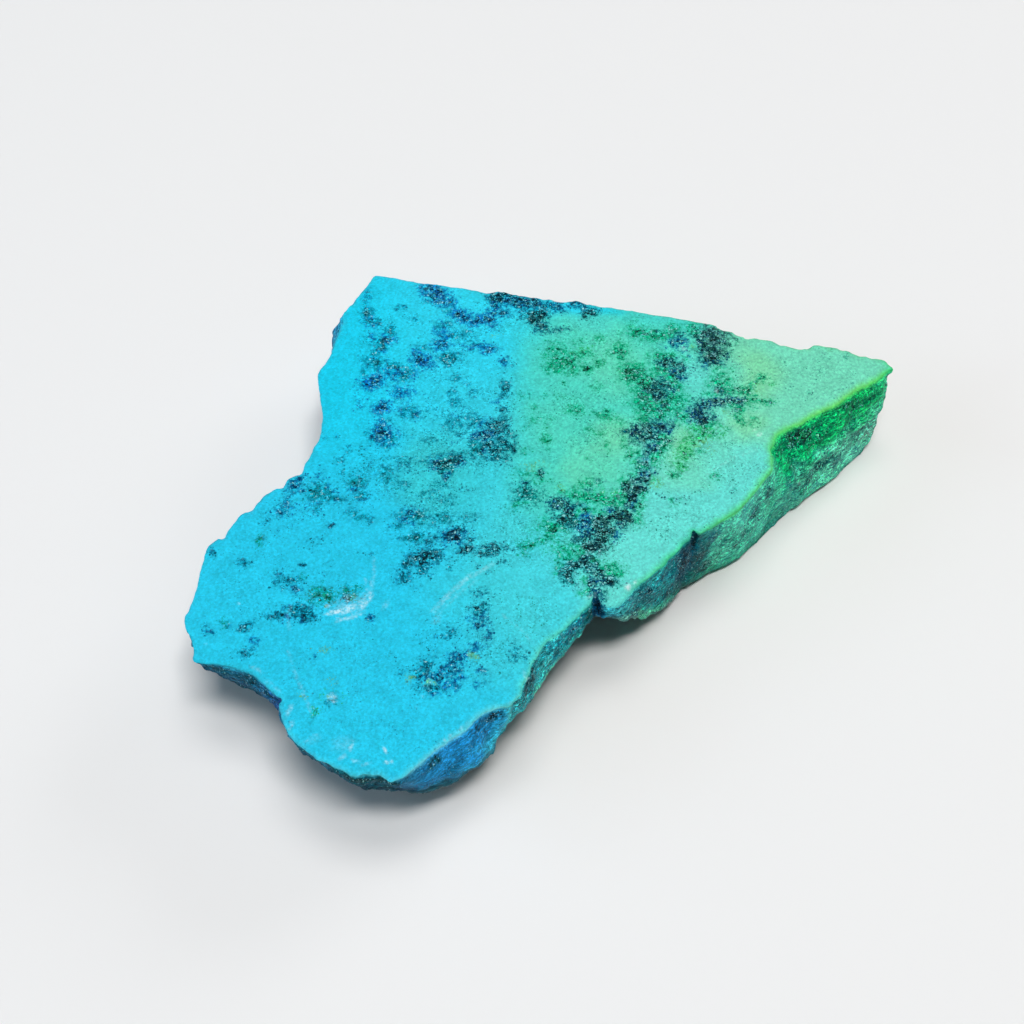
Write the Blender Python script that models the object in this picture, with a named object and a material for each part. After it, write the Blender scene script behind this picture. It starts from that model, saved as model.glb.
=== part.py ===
"""Rough turquoise: one sawn slab of natural stone.

The slab lies on its broken underside with its sawn face up. The sawn face is
flat and level. Its outline is irregular: a long straight back edge, a pointed
tip at the right, a scooped break below the tip, a small cleft and a lobe half
way down the right side, a conchoidal facet at the front, and a thin overhung
edge around the front and the left.

The body is a loft. Four closed rings are drawn around the stone:
  rim       the outline of the sawn face, at full thickness
  shoulder  where a scoop, facet or chamfer under the rim turns into the wall
  lip       the lower edge of the side wall
  foot      the flat ring that stands on the ground, at z = 0
Rows of points run from ring to ring, roughened by noise of a fixed seed, and
two flat caps close the body.

Lengths in the tables are millimetres. +X is the longest extent, +Z is up and
the origin is the middle of the footprint box at ground level.
"""
import math

import bmesh
import bpy
import numpy as np
from mathutils import Vector, noise

# ---------------------------------------------------------------- dimensions
MM = 0.001                 # the model is in metres
THICKNESS = 12.0           # ground to sawn face
CENTRE = (0.05, 0.9)       # middle of the footprint box in table coordinates
MAX_EDGE = 1.35            # longest rim edge after subdivision
ROWS_SHOULDER = 2          # rows from rim to shoulder
ROWS_WALL = 3              # rows from shoulder to lip
ROWS_UNDER = 4             # rows from lip to foot
ROUGH_WALL = 0.28          # height of the broken texture on the walls
ROUGH_UNDER = 0.45         # and on the underside
ROUGH_SCALE = 0.33         # noise cycles per millimetre
SEED = Vector((11.3, 4.7, 29.1))   # where in the noise field the stone sits

# ------------------------------------------------- outline of the sawn face
# clockwise from above, starting at the back left corner
BACK_EDGE = [
    (-21.4, 35.6), (-20.0, 35.4), (-18.0, 34.9), (-16.0, 34.4), (-14.0, 34.1),
    (-12.5, 33.8), (-11.0, 33.5), (-9.0, 33.0), (-8.0, 32.7), (-6.5, 32.75),
    (-5.0, 32.4), (-3.5, 32.1), (-2.5, 31.9), (-0.5, 31.45), (0.5, 31.2),
    (1.75, 31.15), (2.4, 31.3), (3.4, 30.95), (5.0, 30.5), (7.0, 30.25),
    (8.1, 30.0), (10.0, 29.6), (11.4, 29.2), (13.1, 28.85), (15.0, 28.35),
    (17.0, 27.85), (18.1, 27.6), (18.9, 27.35),
]
BACK_BREAK = [
    (19.3, 26.9), (19.8, 26.65), (20.9, 26.35), (21.7, 25.8), (22.4, 25.2),
    (23.5, 25.3), (24.2, 25.05), (25.6, 24.8), (26.4, 24.4), (27.1, 24.0),
    (28.1, 23.6), (29.1, 23.65), (29.8, 24.1), (30.6, 24.2), (31.4, 24.0),
    (32.8, 23.7), (33.9, 23.45), (34.6, 22.9), (35.3, 22.5), (36.3, 22.5),
    (37.3, 22.1), (38.1, 21.8), (38.5, 21.2), (38.9, 20.5),
]
SCOOP_EDGE = [
    (38.4, 20.2), (37.8, 19.8), (37.0, 18.95), (35.75, 18.25), (34.5, 17.4),
    (33.1, 16.3), (32.1, 15.3), (30.9, 14.65), (29.8, 13.95), (28.7, 13.25),
    (27.7, 12.55), (26.6, 11.85), (25.6, 11.3), (24.8, 10.75), (24.35, 10.05),
    (24.1, 9.2), (23.8, 8.4), (23.8, 7.55), (23.75, 6.7), (23.65, 5.6),
]
RIGHT_EDGE = [
    (23.0, 4.65), (22.4, 3.8), (21.85, 2.95), (21.3, 2.15), (20.5, 1.05),
    (19.65, 0.05), (18.7, -0.8), (17.55, -1.6), (16.45, -2.45), (15.6, -3.0),
    (15.0, -3.4), (14.5, -3.0), (14.2, -3.8), (13.25, -4.75), (12.6, -5.75),
    (11.75, -6.5), (11.0, -7.4), (10.0, -8.5), (9.25, -9.25), (8.25, -10.0),
    (7.6, -10.6),
]
LOBE_EDGE = [
    (7.0, -11.3), (6.5, -12.1), (5.7, -12.6), (4.9, -12.6), (4.2, -12.1),
    (3.75, -11.2), (3.4, -12.0),
]
FRONT_RIGHT = [
    (3.0, -12.75), (2.1, -13.6), (1.25, -14.5), (0.5, -15.5), (-0.5, -16.25),
    (-1.25, -16.9), (-1.9, -17.75), (-2.5, -19.0), (-3.0, -19.9),
    (-3.25, -20.75), (-3.5, -21.5), (-3.9, -22.25), (-4.1, -23.25),
    (-4.6, -24.1),
]
FACET_EDGE = [
    (-5.1, -24.75), (-6.0, -25.1), (-7.5, -25.6), (-8.25, -26.1),
    (-9.0, -27.0), (-10.0, -28.0), (-11.25, -28.9), (-12.1, -29.6),
    (-12.9, -30.4), (-13.75, -31.25), (-14.75, -32.25), (-15.4, -33.0),
]
FRONT_EDGE = [
    (-16.0, -33.4), (-16.9, -33.45), (-17.4, -33.0), (-18.5, -32.7),
    (-19.25, -32.75), (-20.0, -32.9), (-20.75, -32.8), (-21.5, -32.4),
    (-22.0, -32.0), (-22.75, -31.7), (-23.5, -31.4), (-24.25, -31.1),
    (-24.6, -30.6), (-25.25, -30.1), (-25.9, -29.6), (-26.6, -28.9),
    (-27.25, -28.0), (-27.6, -27.25), (-27.9, -26.4), (-28.1, -25.6),
    (-28.35, -25.0),
]
NOTCH_EDGE = [
    (-28.1, -24.2), (-28.5, -23.9), (-29.25, -23.25), (-29.9, -22.5),
    (-30.6, -21.75), (-31.5, -21.1), (-32.75, -20.6), (-34.0, -20.25),
    (-35.25, -20.0), (-36.4, -19.95), (-37.25, -19.8),
]
LEFT_EDGE = [
    (-37.55, -19.5), (-37.5, -18.75), (-37.75, -17.5), (-38.25, -16.4),
    (-38.75, -15.5), (-38.9, -14.25), (-38.6, -13.25), (-38.3, -12.25),
    (-38.1, -11.0), (-38.0, -9.75), (-37.9, -8.5), (-37.75, -7.25),
    (-37.6, -6.0), (-37.4, -5.1), (-36.75, -4.25), (-36.25, -3.95),
    (-35.9, -3.75), (-35.5, -3.0), (-35.0, -2.1), (-34.5, -1.0),
    (-34.0, -0.4), (-33.1, 0.0), (-32.75, 0.6), (-32.1, 1.75), (-31.4, 2.25),
    (-30.75, 2.9), (-30.0, 3.2), (-29.6, 4.1), (-29.0, 4.5), (-28.25, 5.0),
    (-28.0, 5.4), (-27.9, 6.25), (-27.5, 7.0), (-27.25, 7.9), (-27.0, 8.75),
    (-26.6, 9.5), (-26.45, 10.5), (-26.4, 12.0), (-26.3, 13.0),
    (-26.45, 14.0), (-26.75, 15.5), (-26.95, 17.0), (-27.2, 18.5),
    (-27.3, 19.5), (-27.05, 20.5), (-26.6, 21.25), (-26.25, 22.0),
    (-25.9, 23.0), (-25.7, 24.0), (-25.5, 25.0), (-25.1, 26.25),
    (-24.9, 27.0), (-24.7, 27.75), (-24.9, 28.75), (-24.9, 29.4),
    (-24.5, 30.0), (-24.0, 31.0), (-23.45, 31.9), (-22.9, 32.9),
    (-22.25, 34.0), (-21.9, 34.9),
]
RIM = (BACK_EDGE + BACK_BREAK + SCOOP_EDGE + RIGHT_EDGE + LOBE_EDGE
       + FRONT_RIGHT + FACET_EDGE + FRONT_EDGE + NOTCH_EDGE + LEFT_EDGE)

# --------------------------------------------------------- side wall profiles
# One row per station around the rim:
#   rim x, y | shoulder out, z | lip out, z | foot x, y
# "out" is measured away from the rim along the smoothed outline's normal;
# minus is an undercut.
STATIONS = [
    (-21.4, 35.6,  0.0, 11.0, -1.0, 2.2, -19.6, 32.8),
    (-12.0, 33.7,  0.1, 10.8, -0.6, 1.6, -11.6, 31.4),
    (0.5, 31.2,    0.3, 10.6, -0.4, 1.2,   0.0, 29.2),
    (10.0, 29.6,   0.2, 10.8, -0.6, 1.5,   9.6, 27.6),
    (18.9, 27.35,  0.0, 10.8, -0.8, 1.6,  18.0, 25.4),
    (25.0, 24.9,   0.3, 10.4, -0.4, 1.6,  24.6, 23.2),
    (31.0, 24.1,   0.2, 10.6, -0.8, 1.4,  30.8, 22.2),
    (36.3, 22.5,   0.1, 10.8, -0.3, 1.2,  36.4, 21.4),
    (38.9, 20.5,   0.2, 10.4,  0.2, 1.0,  38.4, 20.1),
    (37.0, 18.95,  0.9,  9.4,  0.9, 0.8,  37.2, 18.6),
    (34.0, 17.0,   1.3,  8.6,  1.5, 0.8,  34.6, 15.4),
    (29.8, 13.95,  2.0,  8.0,  2.4, 0.8,  30.9, 12.4),
    (26.0, 11.5,   2.9,  7.4,  3.1, 0.8,  28.0,  9.9),
    (24.2, 9.4,    3.0,  7.4,  2.3, 0.8,  25.9,  7.7),
    (23.65, 5.8,   0.8,  8.8,  0.6, 0.8,  24.0,  5.5),
    (21.3, 2.15,   0.1,  9.6,  0.15, 0.8, 21.4,  2.3),
    (18.0, -1.3,   0.1, 10.0, -1.0, 0.8,  17.4,  0.6),
    (15.2, -3.4,   0.0, 10.0, -0.9, 1.1,  14.6, -0.8),
    (12.6, -5.75,  0.1, 10.0, -0.2, 1.8,  11.2, -3.0),
    (10.0, -8.5,   0.2,  9.6,  0.0, 3.3,   7.6, -4.6),
    (7.0, -11.3,   0.6, 10.0,  0.4, 7.3,   4.8, -5.8),
    (4.9, -12.6,   0.6, 10.8,  0.4, 9.4,   2.6, -6.6),
    (3.4, -12.0,   0.2, 10.8, -0.1, 8.6,   0.6, -7.0),
    (1.25, -14.5,  0.3, 10.6,  0.15, 7.3, -1.2, -9.4),
    (-1.9, -17.75, 0.3, 10.4,  0.3, 6.2,  -3.8, -13.0),
    (-3.9, -22.25, 0.5,  9.8,  0.3, 7.2,  -7.4, -17.0),
    (-4.8, -24.4,  0.1, 10.4, -0.8, 5.6,  -8.0, -19.0),
    (-6.0, -25.1,  0.5,  9.6, -0.3, 5.7,  -9.0, -20.8),
    (-7.5, -25.6,  0.9,  7.5,  0.7, 4.6, -10.0, -22.2),
    (-9.0, -27.0,  1.7,  7.5,  0.75, 4.6, -11.2, -23.6),
    (-11.0, -28.7, 1.7,  7.6,  0.7, 4.4, -12.6, -25.0),
    (-13.5, -31.0, 1.1,  9.0, -0.1, 4.6, -14.4, -26.8),
    (-16.2, -33.4, 0.1, 11.0, -2.0, 5.1, -16.8, -27.6),
    (-20.0, -32.9, 0.1, 10.6, -1.5, 6.1, -19.4, -26.8),
    (-24.3, -31.1, -0.1, 11.0, -1.6, 7.0, -21.8, -24.8),
    (-27.4, -27.6, 0.0, 11.0, -1.1, 6.8, -24.0, -21.8),
    (-28.3, -24.6, 0.2, 10.6, -0.9, 6.6, -25.0, -19.4),
    (-31.0, -21.4, 0.4, 10.2, -1.3, 6.0, -27.2, -16.8),
    (-37.3, -19.7, -0.1, 11.0, -1.5, 7.0, -31.6, -13.8),
    (-38.9, -14.2, -0.2, 10.8, -1.3, 7.0, -32.4, -10.4),
    (-37.8, -7.5, -0.2, 10.6, -1.2, 6.4, -31.6, -5.8),
    (-34.5, -1.0, -0.3, 10.4, -1.3, 6.0, -28.4, -0.6),
    (-30.0, 3.2,  -0.3, 10.4, -1.2, 6.0, -24.8,  3.6),
    (-27.5, 7.4,  -0.3, 10.4, -1.1, 5.0, -22.8,  8.2),
    (-26.4, 13.0, -0.2, 10.4, -0.9, 4.4, -22.2, 13.4),
    (-27.3, 19.4, -0.2, 10.4, -1.0, 3.8, -22.8, 19.0),
    (-25.5, 25.0,  0.3, 10.8, -0.4, 3.2, -22.2, 23.8),
    (-24.7, 27.6,  1.7, 10.7,  0.4, 2.8, -21.8, 27.0),
    (-24.9, 29.4,  0.3, 10.8, -0.4, 2.6, -21.4, 28.8),
    (-23.4, 32.0,  0.0, 10.8, -0.8, 2.4, -20.6, 31.0),
]


# ------------------------------------------------------------------ geometry
def densify(points, longest):
    """Closed outline with every edge split until it is no longer than asked."""
    out = []
    for i, a in enumerate(points):
        b = points[(i + 1) % len(points)]
        n = max(1, math.ceil(math.dist(a, b) / longest))
        for k in range(n):
            t = k / n
            out.append((a[0] + (b[0] - a[0]) * t, a[1] + (b[1] - a[1]) * t))
    return np.array(out, float)


def arc_positions(line):
    """Distance along a closed outline at each point, and its full length."""
    step = np.linalg.norm(np.roll(line, -1, axis=0) - line, axis=1)
    return np.concatenate([[0.0], np.cumsum(step)[:-1]]), float(step.sum())


def smooth_closed(line, arc, length, width):
    """Outline averaged along its own length with a Gaussian window."""
    gap = np.abs(arc[:, None] - arc[None, :])
    gap = np.minimum(gap, length - gap)
    step = np.linalg.norm(np.roll(line, -1, axis=0) - np.roll(line, 1, axis=0),
                          axis=1)
    w = np.exp(-0.5 * (gap / width) ** 2) * step[None, :]
    return (w @ line) / w.sum(axis=1)[:, None]


def outward_normals(line):
    """Unit normals of a clockwise closed outline, pointing out."""
    t = np.roll(line, -1, axis=0) - np.roll(line, 1, axis=0)
    n = np.stack([-t[:, 1], t[:, 0]], axis=1)
    return n / np.linalg.norm(n, axis=1)[:, None]


def around(keys, values, arc, length):
    """Smooth periodic interpolation of station values (monotone cubic)."""
    order = np.argsort(keys)
    k = np.asarray(keys, float)[order]
    v = np.asarray(values, float)[order]
    k = np.concatenate([[k[-1] - length], k, [k[0] + length]])
    v = np.concatenate([[v[-1]], v, [v[0]]])
    i = np.clip(np.searchsorted(k, arc, side="right") - 1, 0, len(k) - 2)
    t = (arc - k[i]) / (k[i + 1] - k[i])
    s = t * t * (3 - 2 * t)
    return v[i] * (1 - s) + v[i + 1] * s


def rings():
    """The four rings as (n, 3) arrays in millimetres."""
    rim = densify(RIM, MAX_EDGE)
    arc, length = arc_positions(rim)
    table = np.array(STATIONS, float)
    keys = [arc[np.argmin(np.linalg.norm(rim - s[:2], axis=1))] for s in table]
    v = [around(keys, table[:, c], arc, length) for c in range(2, 8)]
    soft = smooth_closed(rim, arc, length, 1.2)
    softer = smooth_closed(rim, arc, length, 2.6)
    n = outward_normals(smooth_closed(rim, arc, length, 2.0))
    top = np.full(len(rim), THICKNESS)
    shoulder = 0.5 * (rim + soft) + n * v[0][:, None]
    lip = 0.3 * rim + 0.7 * softer + n * v[2][:, None]
    foot = np.stack([v[4], v[5]], axis=1)
    foot_arc = smooth_closed(foot, arc, length, 2.4)
    return [np.column_stack([rim, top]),
            np.column_stack([shoulder, v[1]]),
            np.column_stack([lip, v[3]]),
            np.column_stack([foot_arc, np.zeros(len(rim))])]


def rough_vector(q):
    """Three independent noise values at one place, the same on every run."""
    return Vector([noise.noise(q + Vector((k * 31.7, k * 17.3, k * 8.9)))
                   for k in range(3)])


def rough(p, amount, scale=ROUGH_SCALE):
    """Repeatable offset of the broken surface at a point."""
    q = Vector(p) * scale + SEED
    v = rough_vector(q) + 0.5 * rough_vector(q * 2.3)
    return np.array(v[:]) * amount


def rows():
    """All rows of points from the rim down to the foot."""
    rim, shoulder, lip, foot = rings()
    out = [rim]
    for k in range(1, ROWS_SHOULDER + 1):
        t = k / ROWS_SHOULDER
        out.append(rim + (shoulder - rim) * t)
    for k in range(1, ROWS_WALL + 1):
        t = k / ROWS_WALL
        out.append(shoulder + (lip - shoulder) * t)
    for k in range(1, ROWS_UNDER + 1):
        t = k / ROWS_UNDER
        # the underside runs in under the lip and steepens towards the foot
        run = 1 - (1 - t) ** 1.15
        drop = t ** 1.1
        p = lip + (foot - lip) * run
        p[:, 2] = lip[:, 2] * (1 - drop)
        out.append(p)
    last = len(out) - 1
    for k, ring in enumerate(out):
        if k in (0, last):
            continue
        amount = ROUGH_WALL if k <= ROWS_SHOULDER + ROWS_WALL else ROUGH_UNDER
        for i in range(len(ring)):
            ring[i] += rough(ring[i], amount)
        ring[:, 2] = np.clip(ring[:, 2], 0.25, THICKNESS - 0.3)
    return out


def build_slab():
    bm = bmesh.new()
    loops = []
    for ring in rows():
        loops.append([bm.verts.new(((p[0] - CENTRE[0]) * MM,
                                    (p[1] - CENTRE[1]) * MM, p[2] * MM))
                      for p in ring])
    n = len(loops[0])
    for a, b in zip(loops, loops[1:]):
        for i in range(n):
            j = (i + 1) % n
            bm.faces.new((a[i], a[j], b[j], b[i]))
    bm.faces.new(list(reversed(loops[0])))
    bm.faces.new(loops[-1])
    bmesh.ops.triangulate(bm, faces=bm.faces[:], quad_method="SHORT_EDGE",
                          ngon_method="BEAUTY")
    bmesh.ops.recalc_face_normals(bm, faces=bm.faces[:])
    mesh = bpy.data.meshes.new("turquoise_slab")
    bm.to_mesh(mesh)
    bm.free()
    return mesh


def stone_material():
    mat = bpy.data.materials.new("turquoise")
    mat.use_nodes = True
    shader = mat.node_tree.nodes["Principled BSDF"]
    shader.inputs["Base Color"].default_value = (0.045, 0.52, 0.66, 1.0)
    shader.inputs["Roughness"].default_value = 0.62
    shader.inputs["Metallic"].default_value = 0.0
    return mat


def main():
    for obj in list(bpy.data.objects):
        bpy.data.objects.remove(obj, do_unlink=True)
    mesh = build_slab()
    mesh.materials.append(stone_material())
    slab = bpy.data.objects.new("turquoise_slab", mesh)
    bpy.context.scene.collection.objects.link(slab)


main()
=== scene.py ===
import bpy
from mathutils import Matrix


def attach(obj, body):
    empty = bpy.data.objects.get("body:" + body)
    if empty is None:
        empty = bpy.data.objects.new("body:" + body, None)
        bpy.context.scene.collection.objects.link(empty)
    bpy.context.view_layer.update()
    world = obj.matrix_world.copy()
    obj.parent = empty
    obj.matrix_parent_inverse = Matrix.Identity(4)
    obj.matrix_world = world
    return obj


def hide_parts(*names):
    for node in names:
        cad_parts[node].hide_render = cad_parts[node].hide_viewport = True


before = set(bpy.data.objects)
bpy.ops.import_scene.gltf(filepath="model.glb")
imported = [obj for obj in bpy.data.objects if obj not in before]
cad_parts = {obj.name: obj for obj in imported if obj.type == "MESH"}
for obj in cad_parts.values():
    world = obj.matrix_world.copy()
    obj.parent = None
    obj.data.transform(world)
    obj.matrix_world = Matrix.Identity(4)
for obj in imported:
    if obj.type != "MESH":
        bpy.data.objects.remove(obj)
# Rough turquoise slab: the visible stone, its floor, lights and camera.
# Lengths in the tables are millimetres in the same frame as the CAD part's
# tables; CENTRE moves them to the row frame.
import math

import bpy
import numpy as np
from mathutils import Euler, Vector
from mathutils.geometry import delaunay_2d_cdt
from mathutils.kdtree import KDTree

MM = 0.001
THICKNESS = 12.0
CENTRE = np.array([0.05, 0.9])


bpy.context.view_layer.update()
RNG = np.random.default_rng(20)

# ================================================================= the outline
# clockwise from above, starting at the back left corner
BACK_EDGE = [
    (-21.4, 35.6), (-20.0, 35.4), (-18.0, 34.9), (-16.0, 34.4), (-14.0, 34.1),
    (-12.5, 33.8), (-11.0, 33.5), (-9.0, 33.0), (-8.0, 32.7), (-6.5, 32.75),
    (-5.0, 32.4), (-3.5, 32.1), (-2.5, 31.9), (-0.5, 31.45), (0.5, 31.2),
    (1.75, 31.15), (2.4, 31.3), (3.4, 30.95), (5.0, 30.5), (7.0, 30.25),
    (8.1, 30.0), (10.0, 29.6), (11.4, 29.2), (13.1, 28.85), (15.0, 28.35),
    (17.0, 27.85), (18.1, 27.6), (18.9, 27.35),
]
BACK_BREAK = [
    (19.3, 26.9), (19.8, 26.65), (20.9, 26.35), (21.7, 25.8), (22.4, 25.2),
    (23.5, 25.3), (24.2, 25.05), (25.6, 24.8), (26.4, 24.4), (27.1, 24.0),
    (28.1, 23.6), (29.1, 23.65), (29.8, 24.1), (30.6, 24.2), (31.4, 24.0),
    (32.8, 23.7), (33.9, 23.45), (34.6, 22.9), (35.3, 22.5), (36.3, 22.5),
    (37.3, 22.1), (38.1, 21.8), (38.5, 21.2), (38.9, 20.5),
]
SCOOP_EDGE = [
    (38.4, 20.2), (37.8, 19.8), (37.0, 18.95), (35.75, 18.25), (34.5, 17.4),
    (33.1, 16.3), (32.1, 15.3), (30.9, 14.65), (29.8, 13.95), (28.7, 13.25),
    (27.7, 12.55), (26.6, 11.85), (25.6, 11.3), (24.8, 10.75), (24.35, 10.05),
    (24.1, 9.2), (23.8, 8.4), (23.8, 7.55), (23.75, 6.7), (23.65, 5.6),
]
RIGHT_EDGE = [
    (23.0, 4.65), (22.4, 3.8), (21.85, 2.95), (21.3, 2.15), (20.5, 1.05),
    (19.65, 0.05), (18.7, -0.8), (17.55, -1.6), (16.45, -2.45), (15.6, -3.0),
    (15.0, -3.4), (14.5, -3.0), (14.2, -3.8), (13.25, -4.75), (12.6, -5.75),
    (11.75, -6.5), (11.0, -7.4), (10.0, -8.5), (9.25, -9.25), (8.25, -10.0),
    (7.6, -10.6),
]
LOBE_EDGE = [
    (7.0, -11.3), (6.5, -12.1), (5.7, -12.6), (4.9, -12.6), (4.2, -12.1),
    (3.75, -11.2), (3.4, -12.0),
]
FRONT_RIGHT = [
    (3.0, -12.75), (2.1, -13.6), (1.25, -14.5), (0.5, -15.5), (-0.5, -16.25),
    (-1.25, -16.9), (-1.9, -17.75), (-2.5, -19.0), (-3.0, -19.9),
    (-3.25, -20.75), (-3.5, -21.5), (-3.9, -22.25), (-4.1, -23.25),
    (-4.6, -24.1),
]
FACET_EDGE = [
    (-5.1, -24.75), (-6.0, -25.1), (-7.5, -25.6), (-8.25, -26.1),
    (-9.0, -27.0), (-10.0, -28.0), (-11.25, -28.9), (-12.1, -29.6),
    (-12.9, -30.4), (-13.75, -31.25), (-14.75, -32.25), (-15.4, -33.0),
]
FRONT_EDGE = [
    (-16.0, -33.4), (-16.9, -33.45), (-17.4, -33.0), (-18.5, -32.7),
    (-19.25, -32.75), (-20.0, -32.9), (-20.75, -32.8), (-21.5, -32.4),
    (-22.0, -32.0), (-22.75, -31.7), (-23.5, -31.4), (-24.25, -31.1),
    (-24.6, -30.6), (-25.25, -30.1), (-25.9, -29.6), (-26.6, -28.9),
    (-27.25, -28.0), (-27.6, -27.25), (-27.9, -26.4), (-28.1, -25.6),
    (-28.35, -25.0),
]
NOTCH_EDGE = [
    (-28.1, -24.2), (-28.5, -23.9), (-29.25, -23.25), (-29.9, -22.5),
    (-30.6, -21.75), (-31.5, -21.1), (-32.75, -20.6), (-34.0, -20.25),
    (-35.25, -20.0), (-36.4, -19.95), (-37.25, -19.8),
]
LEFT_EDGE = [
    (-37.55, -19.5), (-37.5, -18.75), (-37.75, -17.5), (-38.25, -16.4),
    (-38.75, -15.5), (-38.9, -14.25), (-38.6, -13.25), (-38.3, -12.25),
    (-38.1, -11.0), (-38.0, -9.75), (-37.9, -8.5), (-37.75, -7.25),
    (-37.6, -6.0), (-37.4, -5.1), (-36.75, -4.25), (-36.25, -3.95),
    (-35.9, -3.75), (-35.5, -3.0), (-35.0, -2.1), (-34.5, -1.0),
    (-34.0, -0.4), (-33.1, 0.0), (-32.75, 0.6), (-32.1, 1.75), (-31.4, 2.25),
    (-30.75, 2.9), (-30.0, 3.2), (-29.6, 4.1), (-29.0, 4.5), (-28.25, 5.0),
    (-28.0, 5.4), (-27.9, 6.25), (-27.5, 7.0), (-27.25, 7.9), (-27.0, 8.75),
    (-26.6, 9.5), (-26.45, 10.5), (-26.4, 12.0), (-26.3, 13.0),
    (-26.45, 14.0), (-26.75, 15.5), (-26.95, 17.0), (-27.2, 18.5),
    (-27.3, 19.5), (-27.05, 20.5), (-26.6, 21.25), (-26.25, 22.0),
    (-25.9, 23.0), (-25.7, 24.0), (-25.5, 25.0), (-25.1, 26.25),
    (-24.9, 27.0), (-24.7, 27.75), (-24.9, 28.75), (-24.9, 29.4),
    (-24.5, 30.0), (-24.0, 31.0), (-23.45, 31.9), (-22.9, 32.9),
    (-22.25, 34.0), (-21.9, 34.9),
]
RIM = (BACK_EDGE + BACK_BREAK + SCOOP_EDGE + RIGHT_EDGE + LOBE_EDGE
       + FRONT_RIGHT + FACET_EDGE + FRONT_EDGE + NOTCH_EDGE + LEFT_EDGE)

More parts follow.
